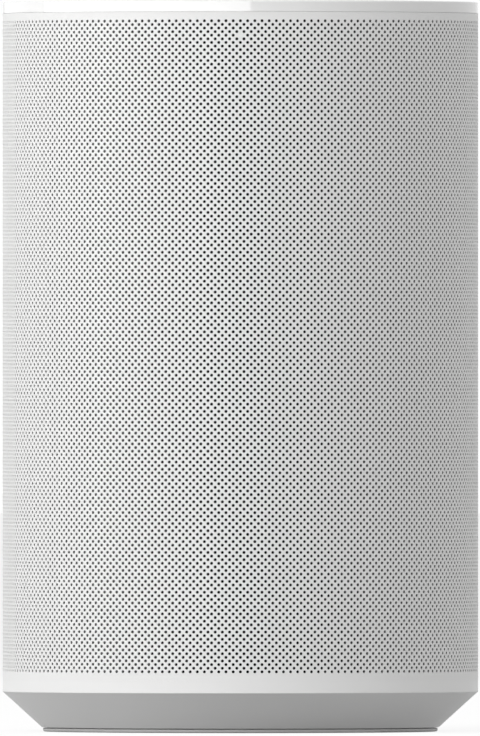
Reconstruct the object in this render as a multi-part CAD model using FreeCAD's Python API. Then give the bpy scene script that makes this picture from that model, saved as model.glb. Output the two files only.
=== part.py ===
import FreeCAD, Part

import math
import os

# A mains-powered smart speaker for a shelf: an upright body of rounded plan with a perforated steel
# grille wrapped round it, a moulded cap on top and a chamfered base. The origin is the centre of the
# foot's underside. +Z is up, -Y is the front of the speaker and +X is to the right as seen from there.
# All sizes are in millimetres.

V = FreeCAD.Vector
X = V(1, 0, 0)
Y = V(0, 1, 0)
Z = V(0, 0, 1)

# Overall size. The plan is two half circles joined by short straight sides.
BODY_WIDTH = 119.0
BODY_DEPTH = 130.5
BODY_HEIGHT = 182.5
END_RADIUS = BODY_WIDTH / 2
REAR_FACE = BODY_DEPTH / 2
FRONT_FACE = -REAR_FACE
END_CENTRE = REAR_FACE - END_RADIUS

# Gaps between pieces.
SEAM = 0.2
CURVED_GAP = 0.3
MOVING_GAP = 0.2
FIT = 0.05
SCREW_CLEARANCE = 0.2

# Foot and base.
FOOT_THICKNESS = 0.8
FOOT_GROOVE = 0.3
FOOT_INSET = 10.1
FOOT_NECK_STEP = 1.2
FOOT_SEAT_DEPTH = 1.2
FOOT_EDGE_RADIUS = 0.5
BASE_BOTTOM = FOOT_THICKNESS + FOOT_GROOVE
BASE_INSET = 9.8
CHAMFER_TOP = 10.0
CHAMFER_EDGE_RADIUS = 0.3
BASE_TOP = 12.7
BASE_WALL = 2.5
BASE_FLOOR = BASE_BOTTOM + FOOT_SEAT_DEPTH

# Threaded inserts that take a stand or a wall bracket.
INSERT_SPACING = 44.0
INSERT_LENGTH = 9.0
INSERT_RADIUS = 3.5
INSERT_THREAD_RADIUS = 2.1
INSERT_BOSS_RADIUS = 6.0
INSERT_BOSS_END = 1.0

# Case screws, M3 with a pan head.
SCREW_RADIUS = 1.5
SCREW_HEAD_RADIUS = 2.9
SCREW_HEAD_HEIGHT = 1.9
SCREW_BOSS_RADIUS = 4.5
BASE_SCREW_X = 38.0
BASE_SCREW_Y = 15.0
BASE_SCREW_LENGTH = 14.0

# Grille and the cage that carries it, up to the cap.
CAP_HEIGHT = 2.8
CAP_SKIRT = 1.4
CAP_BOTTOM = BODY_HEIGHT - CAP_HEIGHT
GRILLE_SHEET = 0.5
GRILLE_RETURN = 4.0
CAGE_WALL = 2.2
CAGE_INSET = GRILLE_SHEET + CURVED_GAP
CAGE_TOP = CAP_BOTTOM - CAP_SKIRT - CURVED_GAP
CAGE_RIM = 5.0
CAGE_RIB = 5.0
CAGE_ROWS = 4
CAGE_WINDOW_PITCH = 22.5
CAGE_FLANGE = 9.0

# Acoustic chamber. The lower front is flat for the woofer and the upper front is a wedge for the tweeters.
CHAMBER_INSET = 6.2
CHAMBER_WALL = 2.6
CHAMBER_BOTTOM = BASE_TOP + CAGE_WALL
CHAMBER_TOP = BODY_HEIGHT - 14.5
CHAMBER_REAR = REAR_FACE - 43.25
CHAMBER_SPLIT = -8.0
CHAMBER_GASKET = 1.2
BAFFLE_FRONT = FRONT_FACE + 33.25
RIDGE_FRONT = FRONT_FACE + 18.25
WEDGE_ANGLE = 40.0
LOWER_SCREW_X = 42.0
LOWER_SCREW_HEIGHT = CHAMBER_BOTTOM + 13.1
UPPER_SCREW_X = 35.0
UPPER_SCREW_HEIGHT = CHAMBER_TOP - 5.0
CHAMBER_SCREW_BITE = 8.0
CHAMBER_BOSS_HEIGHT = 7.8

# Woofer. Depths are measured back from the front of the baffle.
WOOFER_HEIGHT = 65.0
WOOFER_FLANGE_RADIUS = 45.5
WOOFER_FLANGE = 2.0
WOOFER_GASKET = 0.8
WOOFER_NECK_RADIUS = 40.5
WOOFER_HOLE_CLEARANCE = 0.5
BASKET_WALL = 2.0
BASKET_DEPTH = 24.0
BASKET_SPOKES = 6
SPOKE_WIDTH = 8.0
SPIDER_DEPTH = 15.0
SPIDER_RADIUS = 30.0
SPIDER_LAND = 2.5
SPIDER_WAVES = 3
CONE_RADIUS = 33.0
CONE_RIM = 2.2
CONE_DEPTH = 13.0
CONE_PAPER = 0.8
CONE_TRAVEL = 4.0
DUST_CAP_RADIUS = 15.0
DUST_CAP_RISE = 5.0
SURROUND_RADIUS = 38.5
SURROUND_LAND = 2.1
RUBBER = 0.5
SPIDER_COLLAR = 1.0
SPIDER_WAVE = 1.2
COIL_RADIUS = 12.5
COIL_FORMER = 0.3
COIL_WINDING = 0.3
COIL_GAP = 0.4
MAGNET_RADIUS = 29.0
MAGNET_BORE = 16.0
MAGNET_HEIGHT = 10.0
PLATE_HEIGHT = 4.0
WOOFER_SCREWS = 6
WOOFER_SCREW_CIRCLE = 43.0

# Small screws of the drivers and boards.
SMALL_SCREW_RADIUS = 1.2
SMALL_HEAD_RADIUS = 2.1
SMALL_HEAD_HEIGHT = 1.4
SMALL_SCREW_LENGTH = 8.0
SHORT_SCREW_LENGTH = 4.8

# Tweeters. Offset is along the wedge's face from the ridge, and depths go in from that face.
TWEETER_HEIGHT = CHAMBER_TOP - 28.0
TWEETER_OFFSET = 33.0
WAVEGUIDE_SIZE = 48.0
WAVEGUIDE_CORNER = 6.0
WAVEGUIDE_PLATE = 2.0
WAVEGUIDE_MOUTH = 20.0
WAVEGUIDE_THROAT = 10.0
WAVEGUIDE_WALL = 1.5
WAVEGUIDE_DEPTH = 7.0
WAVEGUIDE_CURVE = 5.0
WAVEGUIDE_STEP = 2.0
WAVEGUIDE_MARGIN = 1.2
WAIST = TWEETER_HEIGHT - WAVEGUIDE_SIZE / 2 - 3.5
DOME_RADIUS = 9.5
DOME_RISE = 3.2
DOME_SILK = 0.4
TWEETER_COIL_LENGTH = 3.5
TWEETER_GAP = 0.5
MOTOR_RADIUS = 13.0
MOTOR_DEPTH = 12.0
POLE_SETBACK = 1.0
DOME_TRAVEL = 0.3

# Electronics behind the chamber.
BOARD = 1.6
STANDOFF_RADIUS = 3.0
STANDOFF_MARGIN = 5.0
MAIN_BOARD_STANDOFF = 6.0
MAIN_BOARD_WIDTH = 80.0
MAIN_BOARD_TALL = 72.0
MAIN_BOARD_TOP = CHAMBER_TOP - 10.0
MAIN_BOARD_BOTTOM = MAIN_BOARD_TOP - MAIN_BOARD_TALL
POWER_BOARD_STANDOFF = 21.0
POWER_BOARD_WIDTH = 62.0
POWER_BOARD_TALL = 60.0
POWER_BOARD_BOTTOM = CHAMBER_BOTTOM + 5.1
POWER_BOARD_TOP = POWER_BOARD_BOTTOM + POWER_BOARD_TALL
HEAT_SINK_WIDTH = 34.0
HEAT_SINK_TALL = 52.0
HEAT_SINK_DEPTH = 14.0
HEAT_SINK_BASE = 3.0
HEAT_SINK_LAP = 0.5
FIN_COUNT = 7
FIN = 1.4
SHIELD_SIZE = 28.0
SHIELD_HEIGHT = 3.0
TRANSFORMER = (26.0, 16.0, 24.0)
WINDING_OVERHANG = 1.5
CAPACITOR_RADIUS = 6.5
CAPACITOR_LENGTH = 17.0
CAPACITOR_GAP = 3.0
ANTENNA_WIDTH = 9.0
ANTENNA_LENGTH = 36.0
ANTENNA_SHEET = 0.8
ANTENNA_BOTTOM = CHAMBER_TOP - 50.0

# Rear panel with its ports and controls.
PANEL_WIDTH = 46.0
PANEL_WALL = 2.6
PANEL_GAP = 0.3
PANEL_RIB = 2.2
PANEL_RIB_DEPTH = 6.0
PANEL_PAD_WIDTH = 20.0
DISH_DEPTH = 2.4
DISH_WALL = 2.0
BUTTON_HEIGHT = CHAMBER_TOP - 10.0
BUTTON_RADIUS = 3.6
BUTTON_DISH_RADIUS = 6.0
BUTTON_RISE = 1.0
BUTTON_FLANGE = 0.9
BUTTON_FLANGE_STEP = 1.2
BUTTON_TRAVEL = 0.6
SPRING_FLAT_HEIGHT = 0.4
SPRING_SHEET = 0.2
SPRING_CROWN_RADIUS = 1.0
SPRING_FOOT_RADIUS = 2.2
CONTACT_SIZE = 5.6
SWITCH_HEIGHT = BUTTON_HEIGHT - 16.0
SWITCH_KNOB = 4.0
SWITCH_TALL = 3.0
SWITCH_TRAVEL = 3.0
SWITCH_RISE = 0.9
SWITCH_COVER = 0.8
SWITCH_COVER_LAP = 1.0
SWITCH_WINDOW_CORNER = 0.6
SWITCH_KNOB_CORNER = 0.4
SWITCH_COVER_CORNER = 0.8
SWITCH_GROOVE_WIDTH = 0.5
SWITCH_GROOVE_DEPTH = 0.3
DISH_WIDTH = 14.0
DISH_TALL = 7.6
USB_HEIGHT = SWITCH_HEIGHT - 20.0
USB_WIDTH = 8.94
USB_TALL = 3.26
USB_SHELL = 0.3
USB_TONGUE_WIDTH = 6.6
USB_TONGUE = 0.7
USB_TONGUE_CORNER = 0.2
USB_TONGUE_SETBACK = 0.6
IO_BOARD_DEPTH = 3.2
IO_BOARD_WIDTH = 34.0
IO_BOARD_MARGIN = 8.0
IO_BOSS_RADIUS = 2.2
INLET_HEIGHT = 36.0
INLET_RECESS_WIDTH = 27.0
INLET_RECESS_TALL = 15.0
INLET_RECESS_CORNER = 4.0
INLET_RECESS_DEPTH = 8.0
INLET_WIDTH = 16.4
INLET_TALL = 7.8
INLET_DEPTH = 11.0
INLET_WALL = 1.4
PIN_SPACING = 8.6
PIN_RADIUS = 1.18
PIN_SETBACK = 1.5

# Top frame, touch board and cap.
CAP_EDGE_RADIUS = 0.3
CAP_TOP_WALL = 2.2
CAP_SKIRT_INSET = 3.6
CAP_SKIRT_WALL = 2.4
TROUGH_LENGTH = 46.0
TROUGH_WIDTH = 10.0
TROUGH_DEPTH = 1.2
TOUCH_INSET = 8.0
TOUCH_PILLAR_X = 24.0
TOUCH_PILLAR_Y = 28.0
TOP_PLATE = 2.4
TOP_SCREW_X = 32.0
TOP_SCREW_Y = 12.0
TOP_SCREW_LENGTH = 9.0
MIC_X = 26.0
MIC_Y = 40.0
MIC_HOLE_RADIUS = 0.5
MIC_SIZE = 3.6
MIC_HEIGHT = 1.0
LENS_RADIUS = 1.0
LENS_Y = -44.0


def save(name, shape):
    """Writes one piece, or one group of like pieces, to its STEP file."""
    shape.exportStep("parts/" + name + ".step")


def joined(shapes):
    """One shape from overlapping or touching ones, with no seams left inside its faces."""
    shape = shapes[0].fuse(list(shapes[1:]))
    return shape.removeSplitter()


def cylinder(radius, start, axis, length):
    return Part.makeCylinder(radius, length, start, axis)


def block(x, y, z):
    """A box from its low and high values along each axis."""
    return Part.makeBox(x[1] - x[0], y[1] - y[0], z[1] - z[0], V(x[0], y[0], z[0]))


def plan_block(inset, z_low, z_high):
    """Solid of the plan outline, set in from the outer wall."""
    radius = END_RADIUS - inset
    front = V(0, -END_CENTRE, z_low)
    rear = V(0, END_CENTRE, z_low)
    across = X * radius
    edges = [
        Part.Arc(front - across, front - Y * radius, front + across).toShape(),
        Part.LineSegment(front + across, rear + across).toShape(),
        Part.Arc(rear + across, rear + Y * radius, rear - across).toShape(),
        Part.LineSegment(rear - across, front - across).toShape(),
    ]
    return Part.Face(Part.Wire(edges)).extrude(Z * (z_high - z_low))


def plan_ring(inset, wall, z_low, z_high):
    """Wall of even thickness that follows the plan outline."""
    return plan_block(inset, z_low, z_high).cut(plan_block(inset + wall, z_low, z_high))


def rounded_outline(corners):
    """Closed wire in the XZ plane through corners given as (x, z) or (x, z, corner radius)."""
    points = [V(c[0], 0, c[1]) for c in corners]
    radii = [c[2] if len(c) > 2 else 0.0 for c in corners]
    entries = []
    exits = []
    arcs = []
    for i, point in enumerate(points):
        back = (points[i - 1] - point).normalize()
        ahead = (points[(i + 1) % len(points)] - point).normalize()
        half = back.getAngle(ahead) / 2
        cut = radii[i] / math.tan(half)
        entries.append(point + back * cut)
        exits.append(point + ahead * cut)
        arcs.append(point + (back + ahead).normalize() * (radii[i] / math.sin(half) - radii[i]))
    edges = []
    for i in range(len(points)):
        if radii[i] > 0:
            edges.append(Part.Arc(entries[i], arcs[i], exits[i]).toShape())
        follower = entries[(i + 1) % len(points)]
        edges.append(Part.LineSegment(exits[i], follower).toShape())
    return Part.Wire(edges)


def round_plan(corners):
    """Solid made by carrying a section, with x measured out from an end's axis, round the whole plan."""
    face = Part.Face(rounded_outline(corners))
    at_front = face.translated(Y * -END_CENTRE)
    at_rear = face.translated(Y * END_CENTRE)
    front = at_front.revolve(Y * -END_CENTRE, Z, -180)
    rear = at_rear.revolve(Y * END_CENTRE, Z, 180)
    right = at_front.extrude(Y * (2 * END_CENTRE))
    left = right.mirror(V(0, 0, 0), X)
    return joined([front, right, rear, left])


def turned(corners, start, axis):
    """Solid of revolution from (radius, distance along the axis) corners, placed at start along axis."""
    face = Part.Face(rounded_outline(corners))
    shape = face.revolve(V(0, 0, 0), Z, 360)
    shape.Placement = FreeCAD.Placement(start, FreeCAD.Rotation(Z, axis))
    return shape


def screw(length, start, axis, radius=SCREW_RADIUS, head=SCREW_HEAD_RADIUS, head_height=SCREW_HEAD_HEIGHT):
    """Pan-head screw. start is under the head and axis points along the shank."""
    shank = cylinder(radius, start, axis, length)
    return joined([cylinder(head, start - axis * head_height, axis, head_height), shank])


def small_screw(start, axis, length=SMALL_SCREW_LENGTH):
    return screw(length, start, axis, SMALL_SCREW_RADIUS, SMALL_HEAD_RADIUS, SMALL_HEAD_HEIGHT)


def rounded_slot(width, height, start, depth):
    """Slot-shaped prism with round ends, centred on start and running along +Y. width is along X."""
    radius = height / 2
    reach = width / 2 - radius
    left = start - X * reach
    right = start + X * reach
    edges = [
        Part.LineSegment(left - Z * radius, right - Z * radius).toShape(),
        Part.Arc(right - Z * radius, right + X * radius, right + Z * radius).toShape(),
        Part.LineSegment(right + Z * radius, left + Z * radius).toShape(),
        Part.Arc(left + Z * radius, left - X * radius, left - Z * radius).toShape(),
    ]
    return Part.Face(Part.Wire(edges)).extrude(Y * depth)


def rounded_box(width, height, radius, start, depth):
    """Rectangular prism with rounded corners, centred on start and running along +Y."""
    half_width = width / 2
    half_height = height / 2
    corners = [
        (-half_width, -half_height, radius),
        (half_width, -half_height, radius),
        (half_width, half_height, radius),
        (-half_width, half_height, radius),
    ]
    return Part.Face(rounded_outline(corners)).translated(start).extrude(Y * depth)


def four(x, y):
    """The four places that mirror each other left to right and front to back."""
    return [(sx * x, sy * y) for sx in (-1, 1) for sy in (-1, 1)]


# ---------------------------------------------------------------- foot and base

base_screw_places = four(BASE_SCREW_X, BASE_SCREW_Y)
insert_places = [V(side * INSERT_SPACING / 2, 0, BASE_FLOOR) for side in (-1, 1)]
base_screw_seat = BASE_FLOOR + SCREW_HEAD_HEIGHT + SCREW_CLEARANCE


def make_foot_pad():
    """Silicone foot: a thin flange with a narrower neck that is glued into the base's seat."""
    foot_radius = END_RADIUS - FOOT_INSET
    neck = foot_radius - FOOT_NECK_STEP
    pad = round_plan([
        (0, 0),
        (foot_radius, 0, FOOT_EDGE_RADIUS),
        (foot_radius, FOOT_THICKNESS),
        (neck, FOOT_THICKNESS),
        (neck, BASE_FLOOR),
        (0, BASE_FLOOR),
    ])
    access = INSERT_RADIUS + CURVED_GAP
    for place in insert_places:
        pad = pad.cut(cylinder(access, V(place.x, place.y, 0), Z, BASE_FLOOR))
    return pad


def make_base_shell():
    """Moulded tray with the chamfer and the plain band, bosses for the screws and the inserts."""
    outer = END_RADIUS
    low = END_RADIUS - BASE_INSET
    seat = END_RADIUS - FOOT_INSET - FOOT_NECK_STEP + SEAM
    slope = (CHAMFER_TOP - BASE_BOTTOM) / (outer - low)
    lift = BASE_WALL * math.hypot(1, slope)
    floor = BASE_FLOOR + BASE_WALL
    inner = outer - BASE_WALL
    floor_reach = low + (floor - BASE_BOTTOM - lift) / slope
    wall_foot = BASE_BOTTOM + (inner - low) * slope + lift
    shell = round_plan([
        (0, BASE_FLOOR),
        (seat, BASE_FLOOR),
        (seat, BASE_BOTTOM),
        (low, BASE_BOTTOM),
        (outer, CHAMFER_TOP, CHAMFER_EDGE_RADIUS),
        (outer, BASE_TOP),
        (inner, BASE_TOP),
        (inner, wall_foot),
        (floor_reach, floor),
        (0, floor),
    ])
    pieces = [shell]
    for x, y in base_screw_places:
        pieces.append(cylinder(SCREW_BOSS_RADIUS, V(x, y, BASE_FLOOR), Z, BASE_TOP - BASE_FLOOR))
    for place in insert_places:
        pieces.append(cylinder(INSERT_BOSS_RADIUS, place, Z, INSERT_LENGTH + INSERT_BOSS_END))
    shell = joined(pieces)
    sink = base_screw_seat - BASE_FLOOR
    for x, y in base_screw_places:
        shell = shell.cut(cylinder(SCREW_HEAD_RADIUS + CURVED_GAP, V(x, y, BASE_FLOOR), Z, sink))
        shell = shell.cut(cylinder(SCREW_RADIUS + SCREW_CLEARANCE, V(x, y, BASE_FLOOR), Z, BASE_TOP))
    for place in insert_places:
        shell = shell.cut(cylinder(INSERT_RADIUS + FIT, place, Z, INSERT_LENGTH))
    return shell


def make_threaded_inserts():
    """Two brass inserts pressed into the base."""
    inserts = []
    for place in insert_places:
        sleeve = cylinder(INSERT_RADIUS, place, Z, INSERT_LENGTH)
        inserts.append(sleeve.cut(cylinder(INSERT_THREAD_RADIUS, place, Z, INSERT_LENGTH)))
    return Part.makeCompound(inserts)


def make_base_screws():
    """Four screws that hold the base to the cage and the chamber, covered by the foot."""
    places = [V(x, y, base_screw_seat) for x, y in base_screw_places]
    return Part.makeCompound([screw(BASE_SCREW_LENGTH, place, Z) for place in places])


# ---------------------------------------------------------------- grille and cage

panel_half = PANEL_WIDTH / 2
grille_edge = panel_half + PANEL_GAP
upside = (0, BODY_HEIGHT)
across_all = (-BODY_WIDTH, BODY_WIDTH)


def rear_zone(half_width, z_low, z_high):
    """Upright slab behind the body's centre line, as wide as the rear panel or its opening."""
    return block((-half_width, half_width), (END_CENTRE, BODY_DEPTH), (z_low, z_high))


def make_grille():
    """Steel sheet bent round the body, with its two rear edges folded inwards to hook behind the panel."""
    sheet = plan_ring(0, GRILLE_SHEET, BASE_TOP, CAP_BOTTOM)
    sheet = sheet.cut(rear_zone(grille_edge, BASE_TOP, CAP_BOTTOM))
    edge_y = END_CENTRE + math.sqrt((END_RADIUS - GRILLE_SHEET / 2) ** 2 - grille_edge ** 2)
    across = (grille_edge, grille_edge + GRILLE_SHEET)
    upright = (CHAMBER_BOTTOM + CURVED_GAP, CHAMBER_TOP - CURVED_GAP)
    fold = block(across, (edge_y - GRILLE_RETURN, edge_y), upright)
    return joined([sheet, fold, fold.mirror(V(0, 0, 0), X)])


def cage_windows():
    """Openings of the cage, in rows all round the front and the sides."""
    clear_height = CAGE_TOP - BASE_TOP - 2 * CAGE_RIM
    window_height = (clear_height - (CAGE_ROWS - 1) * CAGE_RIB) / CAGE_ROWS
    pitch = 2 * (END_RADIUS - CAGE_INSET) * math.sin(math.radians(CAGE_WINDOW_PITCH / 2))
    half_width = (pitch - CAGE_RIB) / 2
    quarter = round(90 / CAGE_WINDOW_PITCH)
    half_turn = 2 * quarter
    deep = (END_RADIUS - 4 * CAGE_WALL, END_RADIUS)
    windows = []
    for row in range(CAGE_ROWS):
        low = BASE_TOP + CAGE_RIM + row * (window_height + CAGE_RIB)
        window = block(deep, (-half_width, half_width), (low, low + window_height))
        for centre, first, last in (
            (-END_CENTRE, -half_turn, 0),
            (END_CENTRE, 0, quarter // 2),
            (END_CENTRE, half_turn - quarter // 2, half_turn),
        ):
            for step in range(first, last + 1):
                around = window.copy()
                around.rotate(V(0, 0, 0), Z, step * CAGE_WINDOW_PITCH)
                windows.append(around.translated(Y * centre))
    return windows


def make_grille_frame():
    """Black moulded cage that the grille wraps: a ribbed wall, a floor flange and arms to the base screws."""
    floor_top = BASE_TOP + CAGE_WALL
    wall = plan_ring(CAGE_INSET, CAGE_WALL, BASE_TOP, CAGE_TOP)
    flange = plan_ring(CAGE_INSET, CAGE_FLANGE, BASE_TOP, floor_top)
    inside = plan_block(CAGE_INSET, BASE_TOP, CAGE_TOP)
    arms = []
    for x, y in base_screw_places:
        arm = block((0, END_RADIUS / 3), (-SCREW_BOSS_RADIUS, SCREW_BOSS_RADIUS), (BASE_TOP, floor_top))
        arm.rotate(V(0, 0, 0), Z, math.degrees(math.atan2(y, x)))
        arms.append(arm.translated(V(x, y, 0)).common(inside))
        arms.append(cylinder(SCREW_BOSS_RADIUS, V(x, y, BASE_TOP), Z, CAGE_WALL))
    frame = joined([wall, flange] + arms).cut(cage_windows())
    behind = plan_ring(0, PANEL_WALL + PANEL_GAP, BASE_TOP, CAGE_TOP)
    opening = grille_edge + GRILLE_SHEET + PANEL_GAP
    frame = frame.cut(rear_zone(opening, floor_top, CAGE_TOP))
    frame = frame.cut(behind.common(rear_zone(opening, BASE_TOP, floor_top)))
    for x, y in base_screw_places:
        frame = frame.cut(cylinder(SCREW_RADIUS + SCREW_CLEARANCE, V(x, y, BASE_TOP), Z, CAGE_WALL))
    return frame


# ---------------------------------------------------------------- acoustic chamber

baffle_split = CHAMBER_SPLIT + CHAMBER_GASKET
chamber_screw_places = [
    (side * x, z)
    for side in (-1, 1)
    for x, z in ((LOWER_SCREW_X, LOWER_SCREW_HEIGHT), (UPPER_SCREW_X, UPPER_SCREW_HEIGHT))
]
top_screw_places = four(TOP_SCREW_X, TOP_SCREW_Y)
woofer_centre = V(0, BAFFLE_FRONT, WOOFER_HEIGHT)
woofer_screw_angles = [2 * math.pi * (k + 0.5) / WOOFER_SCREWS for k in range(WOOFER_SCREWS)]
woofer_screw_places = [
    woofer_centre + V(math.cos(angle), 0, math.sin(angle)) * WOOFER_SCREW_CIRCLE
    for angle in woofer_screw_angles
]
main_board_y = CHAMBER_REAR + MAIN_BOARD_STANDOFF
power_board_y = CHAMBER_REAR + POWER_BOARD_STANDOFF


def tweeter_place(shape, side):
    """Moves a piece modelled at the origin, with its depth along +Y, to a face of the wedge."""
    angle = math.radians(WEDGE_ANGLE)
    moved = shape.copy()
    moved.rotate(V(0, 0, 0), Z, side * WEDGE_ANGLE)
    across = side * TWEETER_OFFSET * math.cos(angle)
    back = RIDGE_FRONT + TWEETER_OFFSET * math.sin(angle)
    return moved.translated(V(across, back, TWEETER_HEIGHT))


def board_corners(width, bottom, top):
    """Screw places of a board that stands upright behind the chamber."""
    across = width / 2 - STANDOFF_MARGIN
    return [(side * across, z) for side in (-1, 1) for z in (bottom + STANDOFF_MARGIN, top - STANDOFF_MARGIN)]


main_board_holes = board_corners(MAIN_BOARD_WIDTH, MAIN_BOARD_BOTTOM, MAIN_BOARD_TOP)
power_board_holes = board_corners(POWER_BOARD_WIDTH, POWER_BOARD_BOTTOM, POWER_BOARD_TOP)


def chamber_block(shrink):
    """Outer form of the chamber, or its hollow when every wall is taken in by shrink."""
    bottom = CHAMBER_BOTTOM + shrink
    top = CHAMBER_TOP - shrink
    plan = plan_block(CHAMBER_INSET + shrink, bottom, top)
    rear = CHAMBER_REAR - shrink
    flat_fronted = plan.common(block(across_all, (BAFFLE_FRONT + shrink, rear), (bottom, top)))
    slope = math.radians(WEDGE_ANGLE)
    ridge = RIDGE_FRONT + shrink / math.cos(slope)
    side = ridge + BODY_WIDTH * math.tan(slope)
    wedge = Part.Face(Part.makePolygon([
        V(0, ridge, bottom),
        V(BODY_WIDTH, side, bottom),
        V(0, BODY_DEPTH, bottom),
        V(-BODY_WIDTH, side, bottom),
        V(0, ridge, bottom),
    ])).extrude(Z * (top - bottom))
    wedge_fronted = plan.common(wedge).common(block(across_all, (FRONT_FACE, rear), (bottom, top)))
    lower = flat_fronted.common(block(across_all, (FRONT_FACE, rear), (bottom, WAIST - shrink)))
    upper = wedge_fronted.common(block(across_all, (FRONT_FACE, rear), (WAIST + shrink, top)))
    return joined([lower, upper, flat_fronted.common(wedge_fronted)])


def chamber_shell():
    """Whole chamber before it is split, with its screw pillars and bosses."""
    outer = chamber_block(0)
    depth = CHAMBER_REAR - BAFFLE_FRONT
    solid = [outer.cut(chamber_block(CHAMBER_WALL))]
    for x, z in chamber_screw_places:
        pillar = cylinder(SCREW_BOSS_RADIUS, V(x, BAFFLE_FRONT, z), Y, depth)
        solid.append(pillar.common(outer))
    for x, y in base_screw_places:
        boss = cylinder(SCREW_BOSS_RADIUS, V(x, y, CHAMBER_BOTTOM), Z, CHAMBER_BOSS_HEIGHT)
        solid.append(boss.common(outer))
    for x, y in top_screw_places:
        height = TOP_SCREW_LENGTH - TOP_PLATE + CHAMBER_WALL
        boss = cylinder(SCREW_BOSS_RADIUS, V(x, y, CHAMBER_TOP - height), Z, height)
        solid.append(boss.common(outer))
    shell = joined(solid)
    pilot = SCREW_RADIUS + FIT
    for x, y in base_screw_places:
        tip = base_screw_seat + BASE_SCREW_LENGTH - CHAMBER_BOTTOM + SCREW_CLEARANCE
        shell = shell.cut(cylinder(pilot, V(x, y, CHAMBER_BOTTOM), Z, tip))
    for x, y in top_screw_places:
        tip = TOP_SCREW_LENGTH - TOP_PLATE + SCREW_CLEARANCE
        shell = shell.cut(cylinder(pilot, V(x, y, CHAMBER_TOP - tip), Z, tip))
    return shell


chamber = chamber_shell()


def make_front_baffle():
    """Front half of the chamber: flat for the woofer below, with two angled faces for the tweeters above."""
    baffle = chamber.common(block(across_all, (FRONT_FACE, CHAMBER_SPLIT), upside))
    hole = cylinder(WOOFER_NECK_RADIUS + WOOFER_HOLE_CLEARANCE, woofer_centre, Y, CHAMBER_WALL)
    baffle = baffle.cut(hole)
    pilot = SMALL_SCREW_RADIUS + FIT
    bosses = []
    for place in woofer_screw_places:
        boss = cylinder(SMALL_HEAD_RADIUS + FIT, place, Y, SMALL_SCREW_LENGTH)
        bosses.append(boss.common(chamber_block(0)))
    baffle = joined([baffle] + bosses).cut(hole)
    for place in woofer_screw_places:
        baffle = baffle.cut(cylinder(pilot, place, Y, SMALL_SCREW_LENGTH))
    mouth_radius = WAVEGUIDE_MOUTH + WAVEGUIDE_WALL + MOVING_GAP
    mouth = cylinder(mouth_radius, V(0, -WAVEGUIDE_WALL, 0), Y, WAVEGUIDE_DEPTH)
    bite = SHORT_SCREW_LENGTH - WAVEGUIDE_PLATE + SCREW_CLEARANCE
    for side in (-1, 1):
        baffle = baffle.cut(tweeter_place(mouth, side))
        for corner in tweeter_screw_places:
            baffle = baffle.cut(tweeter_place(cylinder(pilot, corner, Y, bite), side))
    bite = CHAMBER_SCREW_BITE + SCREW_CLEARANCE
    for x, z in chamber_screw_places:
        baffle = baffle.cut(cylinder(SCREW_RADIUS + FIT, V(x, CHAMBER_SPLIT, z), -Y, bite))
    return baffle


def make_enclosure_gasket():
    """Foam seal between the two halves of the chamber."""
    band = chamber.common(block(across_all, (CHAMBER_SPLIT, baffle_split), upside))
    for x, z in chamber_screw_places:
        band = band.cut(cylinder(SCREW_RADIUS + SCREW_CLEARANCE, V(x, CHAMBER_SPLIT, z), Y, CHAMBER_GASKET))
    return band


def make_rear_cabinet():
    """Rear half of the chamber, with the pillars that carry the two upright boards."""
    cabinet = chamber.common(block(across_all, (baffle_split, REAR_FACE), upside))
    pillars = []
    for x, z in main_board_holes:
        pillars.append(cylinder(STANDOFF_RADIUS, V(x, CHAMBER_REAR, z), Y, MAIN_BOARD_STANDOFF))
    for x, z in power_board_holes:
        pillars.append(cylinder(STANDOFF_RADIUS, V(x, CHAMBER_REAR, z), Y, POWER_BOARD_STANDOFF))
    cabinet = joined([cabinet] + pillars)
    for x, z in chamber_screw_places:
        length = CHAMBER_REAR - baffle_split
        cabinet = cabinet.cut(cylinder(SCREW_RADIUS + SCREW_CLEARANCE, V(x, baffle_split, z), Y, length))
    for holes, y in ((main_board_holes, main_board_y), (power_board_holes, power_board_y)):
        for x, z in holes:
            bite = SMALL_SCREW_LENGTH - BOARD + SCREW_CLEARANCE
            cabinet = cabinet.cut(cylinder(SMALL_SCREW_RADIUS + FIT, V(x, y, z), -Y, bite))
    return cabinet


def make_chamber_screws():
    """Four long screws that clamp the two halves of the chamber."""
    length = CHAMBER_REAR - CHAMBER_SPLIT + CHAMBER_SCREW_BITE
    return Part.makeCompound([screw(length, V(x, CHAMBER_REAR, z), -Y) for x, z in chamber_screw_places])


# ---------------------------------------------------------------- woofer

flange_front = -(WOOFER_GASKET + WOOFER_FLANGE)
coil_outer = COIL_RADIUS + COIL_FORMER + COIL_WINDING
plate_bore = coil_outer + COIL_GAP
magnet_back = BASKET_DEPTH + PLATE_HEIGHT + MAGNET_HEIGHT
former_radius = COIL_RADIUS + COIL_FORMER


def woofer_turned(corners):
    """Solid of revolution about the woofer's axis from (radius, depth) corners."""
    return turned(corners, woofer_centre, Y)


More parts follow.
